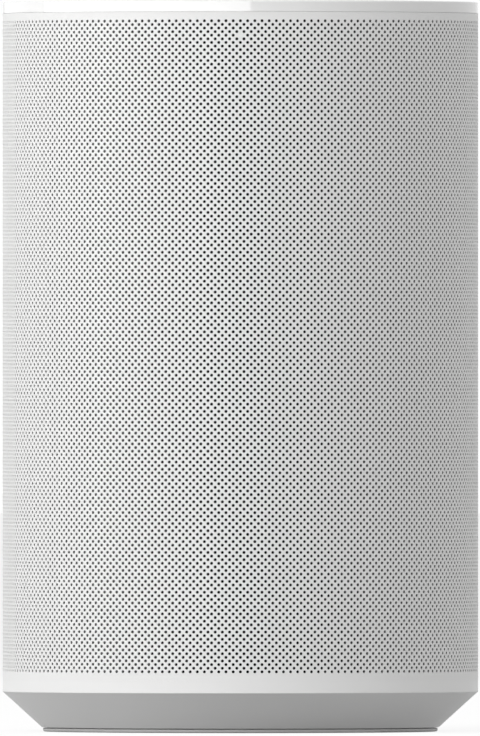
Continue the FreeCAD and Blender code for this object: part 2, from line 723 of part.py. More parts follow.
def make_woofer_basket():
    """Cast basket: a flange, a sloped wall opened between its spokes, a spider land and a back plate."""
    inner_neck = WOOFER_NECK_RADIUS - BASKET_WALL
    back = BASKET_DEPTH - BASKET_WALL
    basket = woofer_turned([
        (inner_neck, flange_front),
        (WOOFER_FLANGE_RADIUS, flange_front),
        (WOOFER_FLANGE_RADIUS, -WOOFER_GASKET),
        (WOOFER_NECK_RADIUS, -WOOFER_GASKET),
        (WOOFER_NECK_RADIUS, CHAMBER_WALL),
        (MAGNET_RADIUS, BASKET_DEPTH),
        (MAGNET_BORE, BASKET_DEPTH),
        (MAGNET_BORE, back),
        (MAGNET_RADIUS - BASKET_WALL, back),
        (inner_neck, CHAMBER_WALL - BASKET_WALL / 2),
    ])
    window_front = CHAMBER_WALL + BASKET_WALL
    middle = (WOOFER_NECK_RADIUS + MAGNET_RADIUS) / 2
    width = 2 * middle * math.sin(math.pi / BASKET_SPOKES) - SPOKE_WIDTH
    depths = (window_front, back - BASKET_WALL / 2)
    window = block((0, WOOFER_FLANGE_RADIUS), depths, (-width / 2, width / 2))
    solid_core = cylinder(MAGNET_RADIUS - BASKET_WALL, V(0, 0, 0), Y, BASKET_DEPTH)
    window = window.cut(solid_core)
    for k in range(BASKET_SPOKES):
        around = window.copy()
        around.rotate(V(0, 0, 0), Y, 360 * k / BASKET_SPOKES)
        basket = basket.cut(around.translated(woofer_centre))
    land = woofer_turned([
        (SPIDER_RADIUS - SPIDER_LAND, SPIDER_DEPTH),
        (SPIDER_RADIUS + BASKET_WALL, SPIDER_DEPTH),
        (SPIDER_RADIUS + BASKET_WALL, SPIDER_DEPTH + BASKET_WALL),
        (SPIDER_RADIUS - SPIDER_LAND, SPIDER_DEPTH + BASKET_WALL),
    ])
    basket = joined([basket, land])
    for place in woofer_screw_places:
        hole = cylinder(SMALL_SCREW_RADIUS + SCREW_CLEARANCE, place + Y * flange_front, Y, WOOFER_FLANGE)
        basket = basket.cut(hole)
    return basket


def make_woofer_gasket():
    """Foam ring between the basket's flange and the baffle."""
    ring = woofer_turned([
        (WOOFER_NECK_RADIUS + WOOFER_HOLE_CLEARANCE, -WOOFER_GASKET),
        (WOOFER_FLANGE_RADIUS, -WOOFER_GASKET),
        (WOOFER_FLANGE_RADIUS, 0),
        (WOOFER_NECK_RADIUS + WOOFER_HOLE_CLEARANCE, 0),
    ])
    for place in woofer_screw_places:
        hole = cylinder(SMALL_SCREW_RADIUS + SCREW_CLEARANCE, place - Y * WOOFER_GASKET, Y, WOOFER_GASKET)
        ring = ring.cut(hole)
    return ring


def make_woofer_screws():
    return Part.makeCompound([small_screw(place + Y * flange_front, Y) for place in woofer_screw_places])


def make_woofer_cone():
    """Paper cone with its flat rim and a domed dust cap."""
    rim_front = flange_front
    rim_inner = CONE_RADIUS - CONE_RIM
    cone = woofer_turned([
        (former_radius, CONE_DEPTH),
        (rim_inner, rim_front),
        (CONE_RADIUS, rim_front),
        (CONE_RADIUS, rim_front + CONE_PAPER),
        (rim_inner + CONE_PAPER / 2, rim_front + CONE_PAPER),
        (former_radius, CONE_DEPTH + 1.4 * CONE_PAPER),
    ])
    slope = (CONE_DEPTH - rim_front) / (rim_inner - former_radius)
    foot = CONE_DEPTH - (DUST_CAP_RADIUS - former_radius) * slope
    peak = foot - DUST_CAP_RISE
    shoulder = DUST_CAP_RADIUS * 0.62
    dust_cap = woofer_turned([
        (0, peak),
        (shoulder, peak, DUST_CAP_RISE),
        (DUST_CAP_RADIUS, foot),
        (DUST_CAP_RADIUS - CONE_PAPER, foot + CONE_PAPER),
        (shoulder - CONE_PAPER / 2, peak + CONE_PAPER, DUST_CAP_RISE - CONE_PAPER),
        (0, peak + CONE_PAPER),
    ])
    return joined([cone, dust_cap])


def make_voice_coil():
    """Former glued into the neck of the cone, with a winding that fills the gap over the whole travel."""
    top = CONE_DEPTH - CONE_PAPER
    winding_top = BASKET_DEPTH - CONE_TRAVEL
    winding_end = BASKET_DEPTH + PLATE_HEIGHT + CONE_TRAVEL
    return woofer_turned([
        (COIL_RADIUS, top),
        (former_radius - FIT, top),
        (former_radius - FIT, winding_top),
        (coil_outer, winding_top),
        (coil_outer, winding_end),
        (COIL_RADIUS, winding_end),
    ])


def make_woofer_surround():
    """Half-roll rubber surround from the cone's rim to the basket's flange."""
    roll_middle = (CONE_RADIUS + SURROUND_RADIUS) / 2
    roll = (SURROUND_RADIUS - CONE_RADIUS) / 2
    front = flange_front - RUBBER
    inner_land = CONE_RADIUS - CONE_RIM + RUBBER
    outer_land = SURROUND_RADIUS + SURROUND_LAND
    centre = V(roll_middle, 0, flange_front)

    def along(radius, depth):
        return V(radius, 0, depth)

    edges = [
        Part.LineSegment(along(inner_land, flange_front), along(inner_land, front)).toShape(),
        Part.LineSegment(along(inner_land, front), along(roll_middle - roll - RUBBER, front)).toShape(),
        Part.Arc(along(roll_middle - roll - RUBBER, front), centre - Z * (roll + 2 * RUBBER),
                 along(roll_middle + roll + RUBBER, front)).toShape(),
        Part.LineSegment(along(roll_middle + roll + RUBBER, front), along(outer_land, front)).toShape(),
        Part.LineSegment(along(outer_land, front), along(outer_land, flange_front)).toShape(),
        Part.LineSegment(along(outer_land, flange_front), along(roll_middle + roll, flange_front)).toShape(),
        Part.Arc(along(roll_middle + roll, flange_front), centre - Z * (roll + RUBBER),
                 along(roll_middle - roll, flange_front)).toShape(),
        Part.LineSegment(along(roll_middle - roll, flange_front), along(inner_land, flange_front)).toShape(),
    ]
    face = Part.Face(Part.Wire(edges))
    shape = face.revolve(V(0, 0, 0), Z, 360)
    shape.Placement = FreeCAD.Placement(woofer_centre, FreeCAD.Rotation(Z, Y))
    return shape


def make_woofer_spider():
    """Corrugated cloth disc that centres the voice coil in the gap."""
    inner = former_radius + FIT
    outer_flat = SPIDER_RADIUS - SPIDER_LAND
    pitch = (outer_flat - inner - SPIDER_COLLAR) / SPIDER_WAVES
    front = []
    for k in range(SPIDER_WAVES):
        start = inner + SPIDER_COLLAR + k * pitch
        front.append((start, SPIDER_DEPTH - RUBBER))
        front.append((start + pitch / 2, SPIDER_DEPTH - RUBBER - SPIDER_WAVE))
    front.append((outer_flat, SPIDER_DEPTH - RUBBER))
    back = [(radius, depth + RUBBER) for radius, depth in reversed(front)]
    corners = [(inner, SPIDER_DEPTH - RUBBER)] + front + [
        (SPIDER_RADIUS, SPIDER_DEPTH - RUBBER),
        (SPIDER_RADIUS, SPIDER_DEPTH),
    ] + back + [(inner, SPIDER_DEPTH)]
    return woofer_turned(corners)


def make_woofer_magnet():
    """Ferrite ring between the front plate and the yoke."""
    front = BASKET_DEPTH + PLATE_HEIGHT
    return woofer_turned([
        (MAGNET_BORE, front),
        (MAGNET_RADIUS, front),
        (MAGNET_RADIUS, magnet_back),
        (MAGNET_BORE, magnet_back),
    ])


def make_woofer_front_plate():
    """Steel plate whose bore is the outer wall of the magnet gap."""
    return woofer_turned([
        (plate_bore, BASKET_DEPTH),
        (MAGNET_RADIUS - BASKET_WALL, BASKET_DEPTH),
        (MAGNET_RADIUS - BASKET_WALL, BASKET_DEPTH + PLATE_HEIGHT),
        (plate_bore, BASKET_DEPTH + PLATE_HEIGHT),
    ])


def make_woofer_yoke():
    """Steel back plate with the pole that stands inside the voice coil."""
    pole = COIL_RADIUS - COIL_GAP
    return woofer_turned([
        (0, BASKET_DEPTH),
        (pole, BASKET_DEPTH),
        (pole, magnet_back),
        (MAGNET_RADIUS - BASKET_WALL, magnet_back),
        (MAGNET_RADIUS - BASKET_WALL, magnet_back + PLATE_HEIGHT),
        (0, magnet_back + PLATE_HEIGHT),
    ])


# ---------------------------------------------------------------- tweeters

tweeter_corner = WAVEGUIDE_SIZE / 2 - SMALL_HEAD_RADIUS - WAVEGUIDE_MARGIN
tweeter_screw_places = [V(x, 0, z) for x, z in four(tweeter_corner, tweeter_corner)]
dome_back = WAVEGUIDE_DEPTH + DOME_SILK


def make_waveguide():
    """Moulded plate with a flared mouth, and a collar behind it that locates the motor."""
    front = V(0, -WAVEGUIDE_PLATE, 0)
    plate = rounded_box(WAVEGUIDE_SIZE, WAVEGUIDE_SIZE, WAVEGUIDE_CORNER, front, WAVEGUIDE_PLATE)
    collar = turned([
        (0, -WAVEGUIDE_PLATE),
        (WAVEGUIDE_MOUTH + WAVEGUIDE_WALL, -WAVEGUIDE_PLATE),
        (WAVEGUIDE_MOUTH + WAVEGUIDE_WALL, 0),
        (MOTOR_RADIUS, WAVEGUIDE_DEPTH),
        (0, WAVEGUIDE_DEPTH),
    ], V(0, 0, 0), Y)
    flare = turned([
        (0, -WAVEGUIDE_PLATE),
        (WAVEGUIDE_MOUTH, -WAVEGUIDE_PLATE),
        (WAVEGUIDE_THROAT + WAVEGUIDE_STEP, WAVEGUIDE_DEPTH / 2, WAVEGUIDE_CURVE),
        (WAVEGUIDE_THROAT, WAVEGUIDE_DEPTH),
        (0, WAVEGUIDE_DEPTH),
    ], V(0, 0, 0), Y)
    guide = joined([plate, collar]).cut(flare)
    for corner in tweeter_screw_places:
        guide = guide.cut(cylinder(SMALL_SCREW_RADIUS + SCREW_CLEARANCE, corner + front, Y, WAVEGUIDE_PLATE))
    return guide


def make_tweeter_dome():
    """Silk dome with its voice coil."""
    inner = DOME_RADIUS - DOME_SILK
    peak = dome_back - DOME_RISE
    shoulder = DOME_RADIUS * 0.6
    coil_end = dome_back + TWEETER_COIL_LENGTH
    return turned([
        (0, peak),
        (shoulder, peak, DOME_RISE),
        (DOME_RADIUS, dome_back),
        (DOME_RADIUS, coil_end),
        (inner, coil_end),
        (inner, dome_back),
        (shoulder - DOME_SILK / 2, peak + DOME_SILK, DOME_RISE - DOME_SILK),
        (0, peak + DOME_SILK),
    ], V(0, 0, 0), Y)


def make_tweeter_motor():
    """Steel cup with the pole inside the dome's coil."""
    pole = DOME_RADIUS - DOME_SILK - TWEETER_GAP
    gap_back = dome_back + TWEETER_COIL_LENGTH + 2 * DOME_TRAVEL + TWEETER_GAP
    back = WAVEGUIDE_DEPTH + MOTOR_DEPTH
    return turned([
        (0, dome_back + POLE_SETBACK),
        (pole, dome_back + POLE_SETBACK),
        (pole, gap_back),
        (DOME_RADIUS + TWEETER_GAP, gap_back),
        (DOME_RADIUS + TWEETER_GAP, WAVEGUIDE_DEPTH),
        (MOTOR_RADIUS, WAVEGUIDE_DEPTH),
        (MOTOR_RADIUS, back),
        (0, back),
    ], V(0, 0, 0), Y)


def make_tweeter_screws():
    """Four short screws in the corners of each waveguide."""
    screws = []
    for side in (-1, 1):
        for corner in tweeter_screw_places:
            seated = small_screw(corner - Y * WAVEGUIDE_PLATE, Y, SHORT_SCREW_LENGTH)
            screws.append(tweeter_place(seated, side))
    return Part.makeCompound(screws)


# ---------------------------------------------------------------- electronics

def upright_board(width, upright, y, holes):
    """Circuit board across the body, with a hole for each of its screws."""
    board = block((-width / 2, width / 2), (y, y + BOARD), upright)
    for x, z in holes:
        board = board.cut(cylinder(SMALL_SCREW_RADIUS + SCREW_CLEARANCE, V(x, y, z), Y, BOARD))
    return board


def make_main_board():
    """Amplifier and processor board on short pillars behind the chamber."""
    upright = (MAIN_BOARD_BOTTOM, MAIN_BOARD_TOP)
    return upright_board(MAIN_BOARD_WIDTH, upright, main_board_y, main_board_holes)


def make_power_board():
    """Mains board on tall pillars, so that the inlet soldered to it reaches the rear panel."""
    upright = (POWER_BOARD_BOTTOM, POWER_BOARD_TOP)
    return upright_board(POWER_BOARD_WIDTH, upright, power_board_y, power_board_holes)


def make_heat_sink():
    """Finned aluminium block on the amplifier."""
    low_x = -HEAT_SINK_WIDTH + HEAT_SINK_LAP
    base_y = main_board_y + BOARD
    bottom = (MAIN_BOARD_BOTTOM + MAIN_BOARD_TOP - HEAT_SINK_TALL) / 2
    upright = (bottom, bottom + HEAT_SINK_TALL)
    parts = [block((low_x, low_x + HEAT_SINK_WIDTH), (base_y, base_y + HEAT_SINK_BASE), upright)]
    pitch = (HEAT_SINK_WIDTH - FIN) / (FIN_COUNT - 1)
    for k in range(FIN_COUNT):
        left = low_x + k * pitch
        parts.append(block((left, left + FIN), (base_y, base_y + HEAT_SINK_DEPTH), upright))
    return joined(parts)


def make_shield_can():
    """Pressed steel lid over the processor and radio."""
    middle = MAIN_BOARD_WIDTH / 4
    centre = (MAIN_BOARD_BOTTOM + MAIN_BOARD_TOP) / 2
    half = SHIELD_SIZE / 2
    base_y = main_board_y + BOARD
    deep = (base_y, base_y + SHIELD_HEIGHT)
    return block((middle - half, middle + half), deep, (centre - half, centre + half))


def make_transformer():
    """Switching transformer on the chamber side of the power board."""
    width, depth, tall = TRANSFORMER
    middle = -POWER_BOARD_WIDTH / 6
    low = INLET_HEIGHT - tall / 4
    reach = width / 2
    core = block((middle - reach, middle + reach), (power_board_y - depth, power_board_y), (low, low + tall))
    reach = reach + WINDING_OVERHANG
    winding_inset = depth / 5
    winding = block(
        (middle - reach, middle + reach),
        (power_board_y - depth + winding_inset, power_board_y - winding_inset),
        (low + tall / 5, low + tall * 4 / 5),
    )
    return joined([core, winding])


def make_capacitors():
    """Two electrolytic capacitors on the chamber side of the power board."""
    across = POWER_BOARD_WIDTH / 4
    middle = (POWER_BOARD_BOTTOM + POWER_BOARD_TOP) / 2
    apart = CAPACITOR_RADIUS + CAPACITOR_GAP / 2
    places = [V(across, power_board_y, middle + side * apart) for side in (-1, 1)]
    return Part.makeCompound([cylinder(CAPACITOR_RADIUS, place, -Y, CAPACITOR_LENGTH) for place in places])


def make_antennas():
    """Two flat antennas stuck on the straight sides of the chamber."""
    side = END_RADIUS - CHAMBER_INSET
    upright = (ANTENNA_BOTTOM, ANTENNA_BOTTOM + ANTENNA_LENGTH)
    right = block((side, side + ANTENNA_SHEET), (-ANTENNA_WIDTH / 2, ANTENNA_WIDTH / 2), upright)
    return Part.makeCompound([right, right.mirror(V(0, 0, 0), X)])


# ---------------------------------------------------------------- rear panel, ports and controls

dish_floor = REAR_FACE - DISH_DEPTH
pad_inside = dish_floor - DISH_WALL
io_board_rear = pad_inside - IO_BOARD_DEPTH
io_board_bottom = USB_HEIGHT - IO_BOARD_MARGIN
io_board_top = BUTTON_HEIGHT + IO_BOARD_MARGIN
io_board_holes = board_corners(IO_BOARD_WIDTH, io_board_bottom, io_board_top)
inlet_floor = REAR_FACE - INLET_RECESS_DEPTH
inlet_back = power_board_y + BOARD
inlet_outer_width = INLET_WIDTH + 2 * INLET_WALL
inlet_outer_tall = INLET_TALL + 2 * INLET_WALL
slide_rear = pad_inside - MOVING_GAP / 2
switch_window = SWITCH_KNOB + SWITCH_TRAVEL + 2 * MOVING_GAP
button_flange_front = slide_rear - BUTTON_FLANGE
contact_rear = button_flange_front - BUTTON_TRAVEL - SPRING_FLAT_HEIGHT
panel_bottom = BASE_TOP + SEAM
panel_top = CAP_BOTTOM - SEAM


def make_rear_panel():
    """Moulded spine with a deep pocket for the mains inlet and shallow dishes for the port and controls."""
    half = PANEL_WIDTH / 2
    zone = rear_zone(half, panel_bottom, panel_top)
    skin = plan_ring(0, PANEL_WALL, panel_bottom, panel_top).common(zone)
    body = plan_block(0, panel_bottom, panel_top)
    ribs_top = CHAMBER_TOP - PANEL_RIB
    ribs_bottom = CHAMBER_BOTTOM + PANEL_RIB
    rib_front = END_CENTRE + math.sqrt(END_RADIUS ** 2 - half ** 2) - PANEL_RIB_DEPTH
    rib = block((half - PANEL_RIB, half), (rib_front, REAR_FACE), (ribs_bottom, ribs_top)).common(body)
    half_pad = PANEL_PAD_WIDTH / 2
    pad = block((-half_pad, half_pad), (pad_inside, REAR_FACE), (io_board_bottom, io_board_top)).common(body)
    pocket = rounded_box(
        INLET_RECESS_WIDTH + 2 * DISH_WALL,
        INLET_RECESS_TALL + 2 * DISH_WALL,
        INLET_RECESS_CORNER + DISH_WALL,
        V(0, inlet_floor - DISH_WALL, INLET_HEIGHT),
        INLET_RECESS_DEPTH + DISH_WALL,
    ).common(body)
    bosses = []
    for x, z in io_board_holes:
        boss = cylinder(IO_BOSS_RADIUS, V(x, io_board_rear, z), Y, REAR_FACE - io_board_rear)
        bosses.append(boss.common(body))
    panel = joined([skin, rib, rib.mirror(V(0, 0, 0), X), pad, pocket] + bosses)
    through = V(0, io_board_rear, 0)
    deep = REAR_FACE - inlet_floor + DISH_WALL
    dish = V(0, dish_floor, 0)
    recess = V(0, inlet_floor, INLET_HEIGHT)
    inlet_way = recess - Y * DISH_WALL
    window_tall = SWITCH_TALL + 2 * MOVING_GAP
    around = 2 * MOVING_GAP
    cuts = [
        rounded_box(INLET_RECESS_WIDTH, INLET_RECESS_TALL, INLET_RECESS_CORNER, recess, deep),
        rounded_slot(inlet_outer_width + around, inlet_outer_tall + around, inlet_way, DISH_WALL),
        rounded_slot(DISH_WIDTH, DISH_TALL, dish + Z * USB_HEIGHT, deep),
        rounded_slot(USB_WIDTH + around, USB_TALL + around, through + Z * USB_HEIGHT, deep),
        rounded_slot(DISH_WIDTH, DISH_TALL, dish + Z * SWITCH_HEIGHT, deep),
        rounded_box(switch_window, window_tall, SWITCH_WINDOW_CORNER, through + Z * SWITCH_HEIGHT, deep),
        cylinder(BUTTON_DISH_RADIUS, dish + Z * BUTTON_HEIGHT, Y, deep),
        cylinder(BUTTON_RADIUS + MOVING_GAP, through + Z * BUTTON_HEIGHT, Y, deep),
    ]
    panel = panel.cut(cuts)
    bite = SHORT_SCREW_LENGTH - BOARD + SCREW_CLEARANCE
    for x, z in io_board_holes:
        panel = panel.cut(cylinder(SMALL_SCREW_RADIUS + FIT, V(x, io_board_rear, z), Y, bite))
    return panel


def make_pairing_button():
    """Round push button with a flange that keeps it behind the panel and a stem towards its switch."""
    start = V(0, button_flange_front, BUTTON_HEIGHT)
    cap = cylinder(BUTTON_RADIUS, start, Y, dish_floor + BUTTON_RISE - button_flange_front)
    rim = [edge for edge in cap.Edges if edge.BoundBox.YMin > dish_floor]
    cap = cap.makeFillet(BUTTON_RISE / 3, rim)
    return joined([cap, cylinder(BUTTON_RADIUS + BUTTON_FLANGE_STEP, start, Y, BUTTON_FLANGE)])


def make_button_spring():
    """Dished steel spring between the button and its contact."""
    foot = contact_rear - button_flange_front
    return turned([
        (0, 0),
        (SPRING_CROWN_RADIUS, 0),
        (SPRING_FOOT_RADIUS, foot),
        (SPRING_FOOT_RADIUS - 1.5 * SPRING_SHEET, foot),
        (SPRING_CROWN_RADIUS - SPRING_SHEET, -SPRING_SHEET),
        (0, -SPRING_SHEET),
    ], V(0, button_flange_front, BUTTON_HEIGHT), Y)


def make_button_switch():
    """Contact plate on the board under the button's spring."""
    half = CONTACT_SIZE / 2
    return block((-half, half), (io_board_rear, contact_rear), (BUTTON_HEIGHT - half, BUTTON_HEIGHT + half))


def make_mic_switch():
    """Slide of the microphone switch, with a wide cover that closes its window at both ends."""
    knob_rear = dish_floor + SWITCH_RISE
    start = V(-SWITCH_TRAVEL / 2, slide_rear - SWITCH_COVER, SWITCH_HEIGHT)
    cover_width = switch_window + SWITCH_TRAVEL + 2 * SWITCH_COVER_LAP
    cover_tall = SWITCH_TALL + 2 * MOVING_GAP + 2 * SWITCH_COVER_LAP
    cover = rounded_box(cover_width, cover_tall, SWITCH_COVER_CORNER, start, SWITCH_COVER)
    knob = rounded_box(SWITCH_KNOB, SWITCH_TALL, SWITCH_KNOB_CORNER, start, knob_rear - start.y)
    slide = joined([cover, knob])
    deep = (knob_rear - SWITCH_GROOVE_DEPTH, knob_rear)
    upright = (SWITCH_HEIGHT - SWITCH_TALL, SWITCH_HEIGHT + SWITCH_TALL)
    for k in (-1, 0, 1):
        left = start.x + (k * SWITCH_KNOB / 2 - SWITCH_GROOVE_WIDTH) / 2
        slide = slide.cut(block((left, left + SWITCH_GROOVE_WIDTH), deep, upright))
    return slide


def make_switch_body():
    """Body of the slide switch on the board, which the slide runs over."""
    deep = (io_board_rear, slide_rear - MOVING_GAP / 2 - SWITCH_COVER)
    half_width = switch_window / 2 + SWITCH_COVER_LAP
    half_tall = SWITCH_TALL / 2 + SWITCH_COVER_LAP
    return block((-half_width, half_width), deep, (SWITCH_HEIGHT - half_tall, SWITCH_HEIGHT + half_tall))


def make_io_board():
    """Board behind the panel that carries the port and the two switches."""
    upright = (io_board_bottom, io_board_top)
    return upright_board(IO_BOARD_WIDTH, upright, io_board_rear - BOARD, io_board_holes)


def make_usb_shell():
    """Steel shell of the USB-C port."""
    start = V(0, io_board_rear, USB_HEIGHT)
    depth = dish_floor - io_board_rear
    outer = rounded_slot(USB_WIDTH, USB_TALL, start, depth)
    both = 2 * USB_SHELL
    return outer.cut(rounded_slot(USB_WIDTH - both, USB_TALL - both, start + Y * both, depth))


def make_usb_tongue():
    """Contact tongue in the middle of the USB-C port."""
    start = V(0, io_board_rear + 2 * USB_SHELL, USB_HEIGHT)
    reach = dish_floor - USB_TONGUE_SETBACK - start.y
    return rounded_box(USB_TONGUE_WIDTH, USB_TONGUE, USB_TONGUE_CORNER, start, reach)


def make_ac_inlet():
    """Figure-8 mains inlet, fixed to the power board and reaching through the floor of the pocket."""
    back = V(0, inlet_back, INLET_HEIGHT)
    outer = rounded_slot(inlet_outer_width, inlet_outer_tall, back, inlet_floor - inlet_back)
    mouth = inlet_floor - INLET_DEPTH
    inlet = outer.cut(rounded_slot(INLET_WIDTH, INLET_TALL, V(0, mouth, INLET_HEIGHT), INLET_DEPTH))
    for side in (-1, 1):
        place = V(side * PIN_SPACING / 2, inlet_back, INLET_HEIGHT)
        inlet = inlet.cut(cylinder(PIN_RADIUS + FIT, place, Y, mouth - inlet_back))
    return inlet


def make_inlet_pins():
    """Two round pins of the mains inlet."""
    pins = []
    for side in (-1, 1):
        place = V(side * PIN_SPACING / 2, inlet_back, INLET_HEIGHT)
        pins.append(cylinder(PIN_RADIUS, place, Y, inlet_floor - PIN_SETBACK - inlet_back))
    return Part.makeCompound(pins)


def make_board_screws():
    """Small screws of the three upright boards."""
    screws = []
    for holes, y in ((main_board_holes, main_board_y), (power_board_holes, power_board_y)):
        for x, z in holes:
            screws.append(small_screw(V(x, y + BOARD, z), -Y))
    for x, z in io_board_holes:
        screws.append(small_screw(V(x, io_board_rear - BOARD, z), Y, SHORT_SCREW_LENGTH))
    return Part.makeCompound(screws)


# ---------------------------------------------------------------- top

plate_top = CHAMBER_TOP + TOP_PLATE
cap_underside = BODY_HEIGHT - CAP_TOP_WALL
skirt_bottom = CAP_BOTTOM - CAP_SKIRT
touch_top = cap_underside - SEAM
touch_bottom = touch_top - BOARD
touch_pillars = four(TOUCH_PILLAR_X, TOUCH_PILLAR_Y)
mic_places = four(MIC_X, MIC_Y)


def make_top_frame():
    """Moulded deck on the chamber, with a rim under the cap and pillars under the touch board."""
    deck = plan_block(CAP_SKIRT_INSET, CHAMBER_TOP, plate_top)
    rim = plan_ring(CAP_SKIRT_INSET, CAP_SKIRT_WALL, CHAMBER_TOP, skirt_bottom)
    tall = touch_bottom - CHAMBER_TOP
    pillars = [cylinder(STANDOFF_RADIUS, V(x, y, CHAMBER_TOP), Z, tall) for x, y in touch_pillars]
    frame = joined([deck, rim] + pillars)
    for x, y in top_screw_places:
        frame = frame.cut(cylinder(SCREW_RADIUS + SCREW_CLEARANCE, V(x, y, CHAMBER_TOP), Z, TOP_PLATE))
    return frame


def make_top_screws():
    return Part.makeCompound([screw(TOP_SCREW_LENGTH, V(x, y, plate_top), -Z) for x, y in top_screw_places])


def make_touch_board():
    """Capacitive touch board under the cap."""
    return plan_block(TOUCH_INSET, touch_bottom, touch_top)


def make_microphones():
    """Four microphone cans under the touch board."""
    half = MIC_SIZE / 2
    upright = (touch_bottom - MIC_HEIGHT, touch_bottom)
    cans = [block((x - half, x + half), (y - half, y + half), upright) for x, y in mic_places]
    return Part.makeCompound(cans)


def make_top_cap():
    """Moulded cap with a softened edge, a scooped trough and holes for the microphones and the light."""
    inner_skirt = CAP_SKIRT_INSET + CAP_SKIRT_WALL
    cap = round_plan([
        (0, BODY_HEIGHT),
        (END_RADIUS, BODY_HEIGHT, CAP_EDGE_RADIUS),
        (END_RADIUS, CAP_BOTTOM),
        (END_RADIUS - CAP_SKIRT_INSET, CAP_BOTTOM),
        (END_RADIUS - CAP_SKIRT_INSET, skirt_bottom),
        (END_RADIUS - inner_skirt, skirt_bottom),
        (END_RADIUS - inner_skirt, cap_underside),
        (0, cap_underside),
    ])
    scoop_radius = ((TROUGH_WIDTH / 2) ** 2 + TROUGH_DEPTH ** 2) / (2 * TROUGH_DEPTH)
    scoop_height = BODY_HEIGHT + scoop_radius - TROUGH_DEPTH
    reach = TROUGH_LENGTH / 2 - TROUGH_WIDTH / 2
    scoop = joined([
        cylinder(scoop_radius, V(-reach, 0, scoop_height), X, 2 * reach),
        Part.makeSphere(scoop_radius, V(-reach, 0, scoop_height)),
        Part.makeSphere(scoop_radius, V(reach, 0, scoop_height)),
    ])
    cap = cap.cut(scoop)
    for x, y in mic_places:
        cap = cap.cut(cylinder(MIC_HOLE_RADIUS, V(x, y, cap_underside), Z, CAP_TOP_WALL))
    return cap.cut(cylinder(LENS_RADIUS + FIT, V(0, LENS_Y, cap_underside), Z, CAP_TOP_WALL))


def make_status_lens():
    """Clear light pipe from the touch board to the top of the cap."""
    return cylinder(LENS_RADIUS, V(0, LENS_Y, touch_top), Z, BODY_HEIGHT - touch_top)


# ---------------------------------------------------------------- all pieces

os.makedirs("parts", exist_ok=True)
save("foot_pad", make_foot_pad())
save("base_shell", make_base_shell())
save("threaded_inserts", make_threaded_inserts())
save("base_screws", make_base_screws())
save("grille", make_grille())
save("grille_frame", make_grille_frame())
save("front_baffle", make_front_baffle())
save("enclosure_gasket", make_enclosure_gasket())
save("rear_cabinet", make_rear_cabinet())
save("chamber_screws", make_chamber_screws())
save("woofer_basket", make_woofer_basket())
save("woofer_gasket", make_woofer_gasket())
save("woofer_screws", make_woofer_screws())
save("woofer_cone", make_woofer_cone())
save("voice_coil", make_voice_coil())
save("woofer_surround", make_woofer_surround())
save("woofer_spider", make_woofer_spider())
save("woofer_magnet", make_woofer_magnet())
save("woofer_front_plate", make_woofer_front_plate())
save("woofer_yoke", make_woofer_yoke())
for side_name, side in (("left", -1), ("right", 1)):
    save(side_name + "_waveguide", tweeter_place(make_waveguide(), side))
    save(side_name + "_tweeter_dome", tweeter_place(make_tweeter_dome(), side))
    save(side_name + "_tweeter_motor", tweeter_place(make_tweeter_motor(), side))
save("tweeter_screws", make_tweeter_screws())
save("main_board", make_main_board())
save("heat_sink", make_heat_sink())
save("shield_can", make_shield_can())
save("power_board", make_power_board())
save("transformer", make_transformer())
save("capacitors", make_capacitors())
save("antennas", make_antennas())
save("rear_panel", make_rear_panel())
save("pairing_button", make_pairing_button())
save("button_spring", make_button_spring())
save("button_switch", make_button_switch())
save("mic_switch", make_mic_switch())
save("switch_body", make_switch_body())
save("io_board", make_io_board())
save("usb_shell", make_usb_shell())
save("usb_tongue", make_usb_tongue())
save("ac_inlet", make_ac_inlet())
save("inlet_pins", make_inlet_pins())
save("board_screws", make_board_screws())
save("top_frame", make_top_frame())
save("top_screws", make_top_screws())
save("touch_board", make_touch_board())
save("microphones", make_microphones())
save("top_cap", make_top_cap())
save("status_lens", make_status_lens())
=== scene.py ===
import math

import bmesh
import bpy
from mathutils import Matrix, Vector


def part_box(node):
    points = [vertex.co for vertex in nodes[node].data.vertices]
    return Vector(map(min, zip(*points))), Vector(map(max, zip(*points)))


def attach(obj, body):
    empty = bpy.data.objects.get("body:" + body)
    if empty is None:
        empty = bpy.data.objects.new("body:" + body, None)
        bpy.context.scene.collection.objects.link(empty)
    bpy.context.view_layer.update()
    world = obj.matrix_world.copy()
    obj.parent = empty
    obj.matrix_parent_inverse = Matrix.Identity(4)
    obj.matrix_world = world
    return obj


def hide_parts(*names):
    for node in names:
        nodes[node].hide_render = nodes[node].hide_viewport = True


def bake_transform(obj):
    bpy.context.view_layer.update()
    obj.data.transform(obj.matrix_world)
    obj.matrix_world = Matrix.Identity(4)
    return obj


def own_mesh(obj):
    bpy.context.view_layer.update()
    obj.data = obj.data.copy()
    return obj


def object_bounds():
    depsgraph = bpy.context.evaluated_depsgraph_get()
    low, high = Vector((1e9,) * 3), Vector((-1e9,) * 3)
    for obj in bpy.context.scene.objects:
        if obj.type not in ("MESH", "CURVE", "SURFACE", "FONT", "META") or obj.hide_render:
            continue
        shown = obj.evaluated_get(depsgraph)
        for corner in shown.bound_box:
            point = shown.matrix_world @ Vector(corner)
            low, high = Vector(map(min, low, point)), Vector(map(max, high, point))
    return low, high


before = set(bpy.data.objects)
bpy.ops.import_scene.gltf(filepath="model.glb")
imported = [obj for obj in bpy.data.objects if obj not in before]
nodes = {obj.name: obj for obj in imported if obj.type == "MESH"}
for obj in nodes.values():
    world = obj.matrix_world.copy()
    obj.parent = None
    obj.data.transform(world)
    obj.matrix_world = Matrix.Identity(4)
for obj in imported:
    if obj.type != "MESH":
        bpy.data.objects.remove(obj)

cad_low, cad_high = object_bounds()

# ---------------------------------------------------------------- foot
# The speaker stands on a thin pad of pale grey silicone. It is cast in one piece, and its neck is glued
# into a seat under the base.

MM = 0.001


